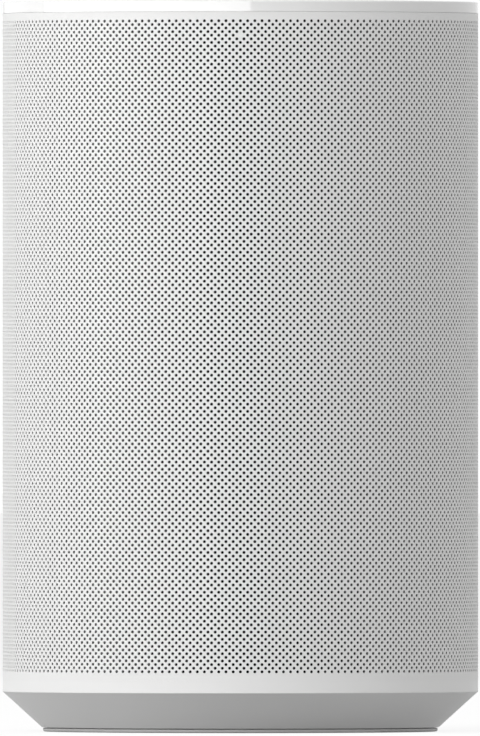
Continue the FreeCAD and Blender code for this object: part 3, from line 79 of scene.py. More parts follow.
def open_group(name, inputs, outputs):
    """A new node group with named sockets, its two ends, and the calls that add and join its nodes."""
    group = bpy.data.node_groups.new(name, "ShaderNodeTree")
    for way, sockets in (("INPUT", inputs), ("OUTPUT", outputs)):
        for title, kind in sockets:
            group.interface.new_socket(title, in_out=way, socket_type=f"NodeSocket{kind}")
    add = group.nodes.new
    return group, add("NodeGroupInput").outputs, add("NodeGroupOutput").inputs, add, group.links.new


def maths(add, link, operation, *values):
    """A Math node's result. Each value is a number or another node's output."""
    node = add("ShaderNodeMath")
    node.operation = operation
    for socket, value in zip(node.inputs, values):
        if isinstance(value, (int, float)):
            socket.default_value = value
        else:
            link(value, socket)
    return node.outputs[0]


def mix_tones(add, link, share, given, result):
    """Mixes a group's two tones and two roughnesses by a share from 0 to 1."""
    tone = add("ShaderNodeMix")
    tone.data_type = "RGBA"
    rough = add("ShaderNodeMix")
    link(share, tone.inputs["Factor"])
    link(share, rough.inputs["Factor"])
    link(given["Light tone"], tone.inputs[6])
    link(given["Dark tone"], tone.inputs[7])
    link(given["Smoothest"], rough.inputs[2])
    link(given["Roughest"], rough.inputs[3])
    link(tone.outputs[2], result["Color"])
    link(rough.outputs[0], result["Roughness"])


TONE_INPUTS = (("Light tone", "Color"), ("Dark tone", "Color"), ("Smoothest", "Float"), ("Roughest", "Float"))
FINISH_OUTPUTS = (("Color", "Color"), ("Roughness", "Float"), ("Height", "Float"))
MOTTLE_SHARE = 0.6


def make_moulded_grain():
    """The even grain of a moulded, cast or coated face, over a slow mottle."""
    scales = (("Grains per metre", "Float"), ("Mottles per metre", "Float"))
    group, given, result, add, link = open_group("moulded_grain", TONE_INPUTS + scales, FINISH_OUTPUTS)
    place = add("ShaderNodeTexCoord")
    mottle = add("ShaderNodeTexNoise")
    mottle.inputs["Detail"].default_value = 3
    grain = add("ShaderNodeTexNoise")
    grain.inputs["Detail"].default_value = 2
    for noise, scale in ((mottle, "Mottles per metre"), (grain, "Grains per metre")):
        link(place.outputs["Object"], noise.inputs["Vector"])
        link(given[scale], noise.inputs["Scale"])
    slow = maths(add, link, "MULTIPLY", mottle.outputs["Fac"], MOTTLE_SHARE)
    both = maths(add, link, "MULTIPLY_ADD", grain.outputs["Fac"], 1 - MOTTLE_SHARE, slow)
    mix_tones(add, link, both, given, result)
    link(grain.outputs["Fac"], result["Height"])
    return group


def finished(name, group, light, dark, smoothest, roughest, relief, metallic=0.0, specular=0.5, **values):
    """A material with a finish group's colour, gloss and relief, in millimetres, from its own values."""
    material = bpy.data.materials.new(name)
    material.use_nodes = True
    tree = material.node_tree
    shader = tree.nodes["Principled BSDF"]
    shader.inputs["Metallic"].default_value = metallic
    shader.inputs["Specular IOR Level"].default_value = specular
    finish = tree.nodes.new("ShaderNodeGroup")
    finish.node_tree = group
    finish.inputs["Light tone"].default_value = (*light, 1)
    finish.inputs["Dark tone"].default_value = (*dark, 1)
    finish.inputs["Smoothest"].default_value = smoothest
    finish.inputs["Roughest"].default_value = roughest
    for title, value in values.items():
        finish.inputs[title.replace("_", " ").capitalize()].default_value = value
    bump = tree.nodes.new("ShaderNodeBump")
    bump.inputs["Distance"].default_value = relief * MM
    tree.links.new(finish.outputs["Color"], shader.inputs["Base Color"])
    tree.links.new(finish.outputs["Roughness"], shader.inputs["Roughness"])
    tree.links.new(finish.outputs["Height"], bump.inputs["Height"])
    tree.links.new(bump.outputs["Normal"], shader.inputs["Normal"])
    return material


def give(material, *names):
    """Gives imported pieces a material."""
    for name in names:
        nodes[name].data.materials.clear()
        nodes[name].data.materials.append(material)


moulded_grain = make_moulded_grain()
silicone = finished(
    "silicone", moulded_grain, (0.56, 0.56, 0.555), (0.50, 0.50, 0.495), 0.55, 0.7,
    relief=0.01, grains_per_metre=3000, mottles_per_metre=80,
)
give(silicone, "foot_pad")


# ---------------------------------------------------------------- base
# The base is injection moulded in white polycarbonate, with the fine even texture of a spark-eroded
# mould. Two turned brass inserts are pressed into it, and four screws hold it to the cage.

white_plastic = finished(
    "white_plastic", moulded_grain, (0.835, 0.835, 0.83), (0.815, 0.815, 0.81), 0.42, 0.52,
    relief=0.006, grains_per_metre=4000, mottles_per_metre=50,
)
give(white_plastic, "base_shell")


def make_lined_finish():
    """Fine uneven lines across an axis, as turning, drawing or brushing leaves them in metal."""
    extra = (("Axis", "Vector"), ("Lines per metre", "Float"))
    group, given, result, add, link = open_group("lined_finish", TONE_INPUTS + extra, FINISH_OUTPUTS)
    place = add("ShaderNodeTexCoord")
    along = add("ShaderNodeVectorMath")
    along.operation = "DOT_PRODUCT"
    link(place.outputs["Object"], along.inputs[0])
    link(given["Axis"], along.inputs[1])
    lines = add("ShaderNodeTexNoise")
    lines.noise_dimensions = "1D"
    lines.inputs["Detail"].default_value = 3
    link(along.outputs["Value"], lines.inputs["W"])
    link(given["Lines per metre"], lines.inputs["Scale"])
    mix_tones(add, link, lines.outputs["Fac"], given, result)
    link(lines.outputs["Fac"], result["Height"])
    return group


lined_finish = make_lined_finish()
brass = finished(
    "brass", lined_finish, (0.78, 0.60, 0.30), (0.62, 0.44, 0.20), 0.2, 0.38,
    relief=0.01, metallic=1.0, axis=(0, 0, 1), lines_per_metre=4000,
)
steel = finished(
    "steel", lined_finish, (0.56, 0.56, 0.57), (0.40, 0.40, 0.41), 0.25, 0.45,
    relief=0.01, metallic=1.0, axis=(0.3, 0.9, 0.3), lines_per_metre=3000,
)
give(brass, "threaded_inserts")
give(steel, "base_screws")


# ---------------------------------------------------------------- cage
# A black moulded cage stands on the base. Its ribbed wall carries the grille, and the woofer and the
# tweeters play out through its windows.

black_plastic = finished(
    "black_plastic", moulded_grain, (0.016, 0.016, 0.017), (0.009, 0.009, 0.010), 0.55, 0.7,
    relief=0.01, specular=0.2, grains_per_metre=3000, mottles_per_metre=60,
)
give(black_plastic, "grille_frame")


# ---------------------------------------------------------------- acoustic chamber
# The chamber is two black mouldings clamped on a strip of foam by four long screws. The front one is
# flat round the woofer, with two angled faces above for the tweeters.

foam = finished(
    "foam", moulded_grain, (0.055, 0.055, 0.057), (0.015, 0.015, 0.016), 0.85, 1.0,
    relief=0.25, specular=0.1, grains_per_metre=1500, mottles_per_metre=300,
)
give(black_plastic, "front_baffle", "rear_cabinet")
give(foam, "enclosure_gasket")
give(steel, "chamber_screws")


# ---------------------------------------------------------------- woofer
# A cast aluminium basket, bolted to the front of the chamber, carries a ferrite magnet between two steel
# plates. The pressed paper cone has a copper voice coil on its neck, which moves in the magnet's gap.

cast_aluminium = finished(
    "cast_aluminium", moulded_grain, (0.62, 0.62, 0.63), (0.48, 0.48, 0.49), 0.4, 0.6,
    relief=0.04, metallic=1.0, grains_per_metre=1800, mottles_per_metre=150,
)
ferrite = finished(
    "ferrite", moulded_grain, (0.085, 0.085, 0.09), (0.04, 0.04, 0.045), 0.5, 0.8,
    relief=0.03, grains_per_metre=2500, mottles_per_metre=200,
)
cone_paper = finished(
    "cone_paper", moulded_grain, (0.05, 0.05, 0.052), (0.025, 0.025, 0.027), 0.6, 0.85,
    relief=0.06, specular=0.25, grains_per_metre=1200, mottles_per_metre=500,
)
copper = finished(
    "copper", lined_finish, (0.80, 0.38, 0.20), (0.45, 0.17, 0.08), 0.25, 0.5,
    relief=0.05, metallic=1.0, axis=(0, 1, 0), lines_per_metre=5000,
)
give(cast_aluminium, "woofer_basket")
give(foam, "woofer_gasket")
give(steel, "woofer_screws", "woofer_front_plate", "woofer_yoke")
give(ferrite, "woofer_magnet")
give(cone_paper, "woofer_cone")
give(copper, "voice_coil")


# ---------------------------------------------------------------- surround and spider
# A half-roll rubber surround and a corrugated cloth spider hang the cone from the basket. They are glued
# at their edges and flex as it moves, and each is made here in sectors cut along its radii.

surround_rubber = finished(
    "surround_rubber", moulded_grain, (0.024, 0.024, 0.025), (0.016, 0.016, 0.017), 0.4, 0.5,
    relief=0.005, specular=0.4, grains_per_metre=5000, mottles_per_metre=120,
)


def make_woven_threads():
    """Plain weave in the plane square to the Y axis: two sets of threads that cross over and under."""
    extra = (("Threads per metre", "Float"),)
    group, given, result, add, link = open_group("woven_threads", TONE_INPUTS + extra, FINISH_OUTPUTS)
    place = add("ShaderNodeTexCoord")
    apart = add("ShaderNodeSeparateXYZ")
    link(place.outputs["Object"], apart.inputs[0])
    crests = []
    for side in ("X", "Z"):
        count = maths(add, link, "MULTIPLY", apart.outputs[side], given["Threads per metre"])
        turn = maths(add, link, "MULTIPLY", count, math.pi)
        crests.append(maths(add, link, "SINE", turn))
    height = maths(add, link, "ABSOLUTE", maths(add, link, "MULTIPLY", *crests))
    mix_tones(add, link, maths(add, link, "SUBTRACT", 1.0, height), given, result)
    link(height, result["Height"])
    return group


woven_threads = make_woven_threads()
spider_cloth = finished(
    "spider_cloth", woven_threads, (0.62, 0.46, 0.20), (0.36, 0.24, 0.09), 0.7, 0.95,
    relief=0.15, specular=0.2, threads_per_metre=1600,
)

SAME_PLACE = 0.001 * MM
SURROUND_SECTORS = 32
SPIDER_SECTORS = 16


def everything(shape):
    """All the points, edges and faces of a shape."""
    return shape.verts[:] + shape.edges[:] + shape.faces[:]


def cut_away(shape, point, outwards):
    """Cuts off what lies beyond a plane."""
    bmesh.ops.bisect_plane(
        shape, geom=everything(shape), dist=SAME_PLACE, plane_co=point, plane_no=outwards, clear_outer=True,
    )


def packed_shape(name):
    """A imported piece's mesh with its loose triangles joined."""
    shape = bmesh.new()
    shape.from_mesh(nodes[name].data)
    bmesh.ops.remove_doubles(shape, verts=shape.verts, dist=SAME_PLACE)
    return shape


def mark_edges(shape, sharpest=30):
    """Smooths all faces and keeps edges that turn by more than an angle, in degrees, sharp."""
    limit = math.radians(sharpest)
    for face in shape.faces:
        face.smooth = True
    for edge in shape.edges:
        edge.smooth = edge.calc_face_angle(0) < limit


def piece_of(shape, name, material, body="housing"):
    """Makes a piece of a finished shape, which rides on a body unless body is None."""
    mesh = bpy.data.meshes.new(name)
    shape.to_mesh(mesh)
    shape.free()
    mesh.materials.append(material)
    piece = bpy.data.objects.new(name, mesh)
    bpy.context.scene.collection.objects.link(piece)
    if body:
        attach(piece, body)
    return piece


def make_flexing_ring(name, material, sectors):
    """Cuts a ring into closed sectors along its radii, each a piece of its own that rides on no body."""
    low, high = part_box(name)
    middle = (low + high) / 2
    step = math.tau / sectors
    ring = packed_shape(name)
    for number in range(sectors):
        sector = ring.copy()
        for side in (-1, 1):
            angle = (number + side / 2) * step
            cut_away(sector, middle, side * Vector((-math.sin(angle), 0, math.cos(angle))))
        open_edges = [edge for edge in sector.edges if edge.is_boundary]
        bmesh.ops.holes_fill(sector, edges=open_edges)
        bmesh.ops.recalc_face_normals(sector, faces=sector.faces)
        mark_edges(sector)
        piece = piece_of(sector, f"{name}_{number + 1}", material, body=None)
        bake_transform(piece)
        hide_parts(name)
    ring.free()


make_flexing_ring(
    "woofer_surround", surround_rubber, SURROUND_SECTORS,
)
make_flexing_ring("woofer_spider", spider_cloth, SPIDER_SECTORS)


# ---------------------------------------------------------------- tweeters
# Two silk domes sit at the throats of moulded waveguides, angled to the left and the right. Each dome
# and its coil ride in the gap of a small steel motor.

dome_silk = finished(
    "dome_silk", woven_threads, (0.10, 0.10, 0.11), (0.04, 0.04, 0.045), 0.5, 0.8,
    relief=0.05, threads_per_metre=3500,
)
give(black_plastic, "left_waveguide", "right_waveguide")
give(dome_silk, "left_tweeter_dome", "right_tweeter_dome")
give(steel, "left_tweeter_motor", "right_tweeter_motor", "tweeter_screws")


# ---------------------------------------------------------------- electronics
# The main board and the power board stand on pillars behind the chamber. Both are green glass-epoxy
# boards with copper tracks under the solder mask.


def make_board_tracks():
    """Straight copper tracks that run beside and across each other under the solder mask."""
    extra = (("Turn", "Float"), ("Tracks per metre", "Float"))
    group, given, result, add, link = open_group("board_tracks", TONE_INPUTS + extra, FINISH_OUTPUTS)
    place = add("ShaderNodeTexCoord")
    turned = add("ShaderNodeVectorRotate")
    turned.rotation_type = "X_AXIS"
    link(place.outputs["Object"], turned.inputs["Vector"])
    link(given["Turn"], turned.inputs["Angle"])
    masks = []
    for width, row in ((1.7, 0.5), (0.35, 2.6)):
        bricks = add("ShaderNodeTexBrick")
        bricks.offset = 0.37
        bricks.squash = 1.6
        bricks.squash_frequency = 3
        bricks.inputs["Color1"].default_value = (0, 0, 0, 1)
        bricks.inputs["Color2"].default_value = (0, 0, 0, 1)
        bricks.inputs["Mortar"].default_value = (1, 1, 1, 1)
        bricks.inputs["Mortar Size"].default_value = 0.05
        bricks.inputs["Mortar Smooth"].default_value = 0.2
        bricks.inputs["Brick Width"].default_value = width
        bricks.inputs["Row Height"].default_value = row
        link(turned.outputs["Vector"], bricks.inputs["Vector"])
        link(given["Tracks per metre"], bricks.inputs["Scale"])
        masks.append(bricks.outputs["Fac"])
    tracks = maths(add, link, "MAXIMUM", *masks)
    mix_tones(add, link, maths(add, link, "SUBTRACT", 1.0, tracks), given, result)
    link(tracks, result["Height"])
    return group


board_tracks = make_board_tracks()
upright_board = finished(
    "upright_board", board_tracks, (0.05, 0.30, 0.13), (0.012, 0.11, 0.045), 0.25, 0.35,
    relief=0.03, turn=math.radians(90), tracks_per_metre=350,
)
tinned_steel = finished(
    "tinned_steel", lined_finish, (0.78, 0.78, 0.79), (0.62, 0.62, 0.64), 0.15, 0.3,
    relief=0.004, metallic=1.0, axis=(0.9, 0.1, 0.3), lines_per_metre=2500,
)
capacitor_sleeve = finished(
    "capacitor_sleeve", moulded_grain, (0.035, 0.04, 0.07), (0.02, 0.024, 0.045), 0.2, 0.32,
    relief=0.01, grains_per_metre=800, mottles_per_metre=200,
)
give(upright_board, "main_board", "power_board", "antennas")
give(cast_aluminium, "heat_sink")
give(tinned_steel, "shield_can")
give(ferrite, "transformer")
give(capacitor_sleeve, "capacitors")
give(steel, "board_screws")


# ---------------------------------------------------------------- rear panel, ports and controls
# A white moulded spine closes the gap at the back. It holds the mains inlet and the USB-C port, a round
# pairing button and a sliding microphone switch, with their small board behind them.

inlet_plastic = finished(
    "inlet_plastic", moulded_grain, (0.03, 0.03, 0.031), (0.02, 0.02, 0.021), 0.3, 0.42,
    relief=0.006, grains_per_metre=3500, mottles_per_metre=90,
)
give(white_plastic, "rear_panel", "pairing_button", "mic_switch")
give(black_plastic, "button_switch", "switch_body", "usb_tongue")
give(upright_board, "io_board")
give(tinned_steel, "usb_shell", "inlet_pins")
give(inlet_plastic, "ac_inlet")


# ---------------------------------------------------------------- button spring
# A dished disc of spring steel stands on the contact behind the pairing button. The button presses it
# flatter by its own travel and is pushed back by it.

spring_shape = packed_shape("button_spring")
mark_edges(spring_shape)
spring = piece_of(spring_shape, "dished_spring", steel)
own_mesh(spring)
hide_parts("button_spring")


# ---------------------------------------------------------------- rear signs
# The sign of a radio link beside the button and that of a microphone beside the switch are printed in
# thick grey ink. They follow the panel's face: the body is two half circles in plan, joined by flat sides.

END_RADIUS = (cad_high.x - cad_low.x) / 2
END_CENTRE = (cad_high.y - cad_low.y) / 2 - END_RADIUS
SIGN_X = 11.5 * MM
INK_RISE = 0.08 * MM
SIGN_LINE = 0.45 * MM
LINK_SIGN = 3.4 * MM
SWITCH_SIGN = 3.6 * MM
ARC_STEP = 12


def add_bar(shape, width, height, x, y, corner):
    """A flat bar with rounded corners."""
    place = Matrix.Translation((x, y, 0)) @ Matrix.Diagonal((width, height, 1, 1))
    bar = bmesh.ops.create_grid(shape, x_segments=1, y_segments=1, size=0.5, matrix=place)
    bmesh.ops.bevel(
        shape, geom=bar["verts"], affect="VERTICES", offset=corner, offset_type="OFFSET", segments=4,
        profile=0.5, material=-1,
    )


def add_arc(shape, radius, width, x, y, start, angle):
    """A flat arc of even width, from a start direction through an angle, both in degrees."""
    around = Matrix.Rotation(math.radians(start), 4, "Z")
    middle = Vector((x, y, 0))
    reaches = (radius - width / 2, radius + width / 2)
    first = [shape.verts.new(around @ Vector((reach, 0, 0)) + middle) for reach in reaches]
    line = shape.edges.new(first)
    bmesh.ops.spin(
        shape, geom=first + [line], cent=(x, y, 0), axis=(0, 0, 1), angle=math.radians(angle),
        steps=max(8, round(abs(angle) / ARC_STEP)),
    )


def join_faces(shape):
    """Merges touching faces, so that each part of a sign is one flat face."""
    bmesh.ops.remove_doubles(shape, verts=shape.verts, dist=SAME_PLACE)
    inner = [edge for edge in shape.edges if not edge.is_boundary]
    bmesh.ops.dissolve_edges(shape, edges=inner, use_verts=False)


def add_waves(shape, x, y, size):
    """The usual sign for a radio link: a dot under two arcs."""
    place = Matrix.Translation((x, y - size * 0.4, 0))
    bmesh.ops.create_circle(shape, segments=16, radius=size * 0.16, cap_ends=True, matrix=place)
    for reach in (0.5, 0.85):
        add_arc(shape, size * reach, SIGN_LINE, x, y - size * 0.4, 45, 90)


def add_microphone(shape, x, y, size):
    """The usual sign for a microphone: a capsule in a cradle on a stem."""
    add_bar(shape, size * 0.36, size * 0.6, x, y + size * 0.18, size * 0.17)
    add_arc(shape, size * 0.34, SIGN_LINE, x, y + size * 0.02, 180, 180)
    add_bar(shape, SIGN_LINE, size * 0.08, x, y - size * 0.46, SIGN_LINE * 0.1)
    add_bar(shape, size * 0.4, SIGN_LINE, x, y - size * 0.6, SIGN_LINE * 0.3)


def points_of(made):
    """The points among what an operator has made."""
    return [item for item in made["geom"] if isinstance(item, bmesh.types.BMVert)]


def thicken(shape, way):
    """Makes flat faces into a body as thick as a way is long, and returns the points of its far side."""
    far_side = points_of(bmesh.ops.extrude_face_region(shape, geom=shape.faces[:]))
    bmesh.ops.translate(shape, verts=far_side, vec=way)
    return far_side


def middle_height(name):
    """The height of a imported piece's middle."""
    low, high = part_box(name)
    return (low.z + high.z) / 2


signs = bmesh.new()
add_waves(signs, -SIGN_X, middle_height("pairing_button"), LINK_SIGN)
add_microphone(signs, -SIGN_X, middle_height("mic_switch"), SWITCH_SIGN)
join_faces(signs)
thicken(signs, (0, 0, 2 * INK_RISE))
bmesh.ops.recalc_face_normals(signs, faces=signs.faces)
for vert in signs.verts:
    across, height, rise = vert.co
    vert.co = -across, END_CENTRE + math.sqrt(END_RADIUS ** 2 - across ** 2) + rise - INK_RISE, height
mark_edges(signs)
symbol_ink = finished(
    "symbol_ink", moulded_grain, (0.30, 0.30, 0.305), (0.26, 0.26, 0.265), 0.45, 0.6,
    relief=0.002, grains_per_metre=4000, mottles_per_metre=300,
)
piece_of(signs, "rear_symbols", symbol_ink)


# ---------------------------------------------------------------- top
# The deck carries the touch board, which has a microphone in each corner, and a clear light pipe. The
# gloss white cap over them is one moulding with a scooped trough and grey signs let into it.

flat_board = finished(
    "flat_board", board_tracks, (0.05, 0.30, 0.13), (0.012, 0.11, 0.045), 0.25, 0.35,
    relief=0.03, turn=0.0, tracks_per_metre=300,
)
cap_plastic = finished(
    "cap_plastic", moulded_grain, (0.845, 0.845, 0.84), (0.825, 0.825, 0.82), 0.03, 0.06,
    relief=0.001, grains_per_metre=1500, mottles_per_metre=40,
)
lens = finished(
    "lens", moulded_grain, (0.85, 0.85, 0.85), (0.75, 0.75, 0.75), 0.1, 0.2,
    relief=0.001, grains_per_metre=2000, mottles_per_metre=100,
)
lens.node_tree.nodes["Principled BSDF"].inputs["Transmission Weight"].default_value = 0.7
give(black_plastic, "top_frame")
give(steel, "top_screws")
give(flat_board, "touch_board")
give(tinned_steel, "microphones")
give(lens, "status_lens")

CAP_TOP = cad_high.z
CAP_EDGE = 0.3 * MM
CAP_WALL = 2.2 * MM
SKIRT_INSET = 3.6 * MM
SKIRT_WALL = 2.4 * MM
TROUGH_HALF_LENGTH = 23 * MM
TROUGH_HALF_WIDTH = 5 * MM
TROUGH_DEPTH = 1.2 * MM
MICROPHONE_X = 26 * MM
MICROPHONE_Y = 40 * MM
MICROPHONE_HOLE = 0.5 * MM
LIGHT_Y = -44 * MM
LIGHT_HOLE = 1.05 * MM
TOUCH_ROW = 20 * MM
PLAY_SIGN = 3.4 * MM
MUTE_SIGN = 4 * MM
SIGN_INSET = 0.1 * MM
INLAY_UNDERSIDE = 0.12 * MM
INLAY = 0.09 * MM
TROUGH_SIGN_X = 17 * MM
TROUGH_SIGN_REACH = 1.4 * MM
TROUGH_SIGN_LINE = 0.6 * MM
TROUGH_SIGN_RISE = 0.1 * MM
cap_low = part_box("top_cap")[0].z
sheet_low, sheet_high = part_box("grille")
cap_underside = CAP_TOP - CAP_WALL
scoop_radius = (TROUGH_HALF_WIDTH ** 2 + TROUGH_DEPTH ** 2) / (2 * TROUGH_DEPTH)
scoop_height = CAP_TOP + scoop_radius - TROUGH_DEPTH


def add_copy(shape, part):
    """Adds a finished part to a shape, and frees the part."""
    mesh = bpy.data.meshes.new("part")
    part.to_mesh(mesh)
    part.free()
    shape.from_mesh(mesh)
    bpy.data.meshes.remove(mesh)


def sweep_round_end(shape, pivot, straight, mirror_axis, steps):
    """Turns a wire half round an upright line, draws both ends out straight, and mirrors it all."""
    wire = shape.verts[:] + shape.edges[:]
    turned = bmesh.ops.spin(shape, geom=wire, cent=pivot, axis=(0, 0, 1), angle=math.pi, steps=steps)
    for end in (wire, turned["geom_last"]):
        edges = [item for item in end if isinstance(item, bmesh.types.BMEdge)]
        drawn = points_of(bmesh.ops.extrude_edge_only(shape, edges=edges))
        bmesh.ops.translate(shape, verts=drawn, vec=straight)
    bmesh.ops.mirror(shape, geom=everything(shape), axis=mirror_axis, merge_dist=SAME_PLACE)
    bmesh.ops.remove_doubles(shape, verts=shape.verts, dist=SAME_PLACE)


def open_edges_at(shape, height):
    """The edges at a height that still lack a face on one side or both."""
    return [
        edge for edge in shape.edges
        if len(edge.link_faces) < 2 and all(abs(vert.co.z - height) < SAME_PLACE for vert in edge.verts)
    ]


def fill_level(shape, height, up):
    """Closes the open edges at a height with one level face that goes round all its holes."""
    edges = open_edges_at(shape, height)
    bmesh.ops.triangle_fill(shape, edges=edges, normal=(0, 0, up), use_beauty=True)


def make_rim():
    """The cap's round edge, its seat on the grille and its inner skirt, as one swept wire."""
    rim = bmesh.new()
    skirt_outer = END_RADIUS - SKIRT_INSET
    skirt_inner = skirt_outer - SKIRT_WALL
    radii_heights = (
        (END_RADIUS - 2 * CAP_EDGE, CAP_TOP), (END_RADIUS, CAP_TOP), (END_RADIUS, sheet_high.z),
        (skirt_outer, sheet_high.z), (skirt_outer, cap_low),
        (skirt_inner, cap_low), (skirt_inner, cap_underside),
    )
    corners = [rim.verts.new((-radius, -END_CENTRE, height)) for radius, height in radii_heights]
    for pair in zip(corners, corners[1:]):
        rim.edges.new(pair)
    bmesh.ops.bevel(
        rim, geom=[corners[1]], affect="VERTICES", offset=CAP_EDGE, offset_type="OFFSET", segments=6,
        profile=0.5, material=-1,
    )
    sweep_round_end(rim, (0, -END_CENTRE, 0), (0, END_CENTRE, 0), "Y", steps=120)
    return rim


def make_trough():
    """The scooped trough for sliding a finger along, with ends like the inside of a ball."""
    trough = bmesh.new()
    reach = TROUGH_HALF_LENGTH - TROUGH_HALF_WIDTH
    lowest = trough.verts.new((reach, 0, scoop_height - scoop_radius))
    rise = math.asin(TROUGH_HALF_WIDTH / scoop_radius)
    bmesh.ops.spin(
        trough, geom=[lowest], cent=(reach, 0, scoop_height), axis=(1, 0, 0), angle=-rise, steps=8,
    )
    sweep_round_end(trough, (reach, 0, 0), (-reach, 0, 0), "X", steps=24)
    return trough


def add_play_pause(shape, x, y, size):
    """The usual sign for play and pause: a triangle beside two bars."""
    turned = Matrix.Translation((x - size * 0.6, y, 0)) @ Matrix.Rotation(math.radians(-90), 4, "Z")
    arrow = bmesh.ops.create_circle(shape, segments=3, radius=size * 0.55, cap_ends=True, matrix=turned)
    bmesh.ops.bevel(
        shape, geom=arrow["verts"], affect="VERTICES", offset=size * 0.08, offset_type="OFFSET", segments=3,
        profile=0.5, material=-1,
    )
    for across in (0.3, 0.7):
        add_bar(shape, size * 0.18, size * 0.85, x + size * across, y, size * 0.05)


def make_touch_signs():
    """Flat outlines of the signs let into the top of the cap."""
    signs = bmesh.new()
    add_play_pause(signs, 0, -TOUCH_ROW, PLAY_SIGN)
    add_microphone(signs, 0, TOUCH_ROW, MUTE_SIGN)
    join_faces(signs)
    bmesh.ops.translate(signs, verts=signs.verts, vec=(0, 0, CAP_TOP))
    return signs


def add_trough_sign(shape, x, crossed):
    """A raised minus, or a plus when crossed, that follows the hollow of the trough."""
    cells = bmesh.new()
    bmesh.ops.create_grid(cells, x_segments=7, y_segments=7, size=TROUGH_SIGN_REACH)
    half_line = TROUGH_SIGN_LINE / 2
    spare = [
        face for face in cells.faces
        if abs(face.calc_center_median().y) > half_line
        and not (crossed and abs(face.calc_center_median().x) < half_line)
    ]
    bmesh.ops.delete(cells, geom=spare, context="FACES")
    thicken(cells, (0, 0, 2 * TROUGH_SIGN_RISE))
    for vert in cells.verts:
        across, along, rise = vert.co
        floor = scoop_height - math.sqrt(scoop_radius ** 2 - along ** 2)
        vert.co = across + x, along, floor + rise - TROUGH_SIGN_RISE
    add_copy(shape, cells)


cap = make_rim()
add_copy(cap, make_trough())
sides = (-1, 1)
corner_holes = [(x * MICROPHONE_X, y * MICROPHONE_Y, MICROPHONE_HOLE) for y in sides for x in sides]
hole_edges = []
for x, y, radius in (*corner_holes, (0, LIGHT_Y, LIGHT_HOLE)):
    edges = []
    for height in (CAP_TOP, cap_underside):
        place = Matrix.Translation((x, y, height))
        ring = bmesh.ops.create_circle(cap, segments=24, radius=radius, matrix=place)
        edges += {edge for vert in ring["verts"] for edge in vert.link_edges}
    hole_edges.append(edges)
outlines = make_touch_signs()
bmesh.ops.delete(outlines, geom=outlines.faces[:], context="FACES_ONLY")
add_copy(cap, outlines)
fill_level(cap, CAP_TOP, 1)
fill_level(cap, cap_underside, -1)
for edges in hole_edges:
    bmesh.ops.bridge_loops(cap, edges=edges)
pocket_floors = points_of(bmesh.ops.extrude_edge_only(cap, edges=open_edges_at(cap, CAP_TOP)))
bmesh.ops.translate(cap, verts=pocket_floors, vec=(0, 0, -SIGN_INSET))
fill_level(cap, CAP_TOP - SIGN_INSET, 1)
bmesh.ops.recalc_face_normals(cap, faces=cap.faces)
mark_edges(cap, sharpest=6)
cap_shell = piece_of(cap, "cap_shell", cap_plastic)
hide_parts("top_cap")

inlays = make_touch_signs()
bmesh.ops.translate(inlays, verts=inlays.verts, vec=(0, 0, -INLAY_UNDERSIDE))
thicken(inlays, (0, 0, INLAY))
add_trough_sign(inlays, -TROUGH_SIGN_X, crossed=False)
add_trough_sign(inlays, TROUGH_SIGN_X, crossed=True)
bmesh.ops.recalc_face_normals(inlays, faces=inlays.faces)
mark_edges(inlays)
piece_of(inlays, "touch_symbols", symbol_ink)


# ---------------------------------------------------------------- acoustic cloth
# A thin black felt is stretched round the cage, just behind the grille, so that the drivers and the
# boards don't show through the holes. It is cut from one strip and welded to the cage's ribs.

EDGE_GAP = 0.3 * MM
CLOTH_DEPTH = 0.55 * MM
CLOTH = 0.2 * MM
CLOTH_EDGE = 2 * MM
CLOTH_STEPS = 200
quarter_turn = END_RADIUS * math.pi / 2
rear_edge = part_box("rear_panel")[1].x + EDGE_GAP
half_sheet = quarter_turn + 2 * END_CENTRE + END_RADIUS * math.acos(rear_edge / END_RADIUS)
upright = Matrix.Rotation(math.radians(90), 4, "X")


def bend_round_body(sheet):
    """Moves points of the flat sheet, given by length from the front's middle and by depth, onto the plan."""
    for vert in sheet.verts:
        along, depth, height = vert.co
        side = math.copysign(1, along)
        radius = END_RADIUS - depth
        past = abs(along) - quarter_turn
        if past < 0:
            turn = abs(along) / END_RADIUS
            x, y = radius * math.sin(turn), -END_CENTRE - radius * math.cos(turn)
        elif past < 2 * END_CENTRE:
            x, y = radius, past - END_CENTRE
        else:
            turn = (past - 2 * END_CENTRE) / END_RADIUS
            x, y = radius * math.cos(turn), END_CENTRE + radius * math.sin(turn)
        vert.co = side * x, y, height


cage_low, cage_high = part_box("grille_frame")
cloth_length = 2 * (half_sheet - CLOTH_EDGE)
cloth_height = cage_high.z - cage_low.z - 2 * CLOTH_EDGE
cloth = bmesh.new()
cloth_place = Matrix.Translation((0, CLOTH_DEPTH, (cage_low.z + cage_high.z) / 2))
cloth_size = Matrix.Diagonal((cloth_length, 1, cloth_height, 1))
bmesh.ops.create_grid(
    cloth, x_segments=CLOTH_STEPS, y_segments=1, size=0.5, matrix=cloth_place @ cloth_size @ upright,
)
thicken(cloth, (0, CLOTH, 0))
bend_round_body(cloth)
bmesh.ops.recalc_face_normals(cloth, faces=cloth.faces)
mark_edges(cloth)
acoustic_felt = finished(
    "acoustic_felt", moulded_grain, (0.014, 0.014, 0.015), (0.006, 0.006, 0.007), 0.85, 1.0,
    relief=0.05, specular=0.1, grains_per_metre=8000, mottles_per_metre=400,
)
acoustic_cloth = piece_of(cloth, "acoustic_cloth", acoustic_felt)


# ---------------------------------------------------------------- grille
# One sheet of mild steel, punched with round holes in staggered rows, bent round the body and powder
# coated white. It is clipped to the cage from the front, and its ends meet the rear panel.

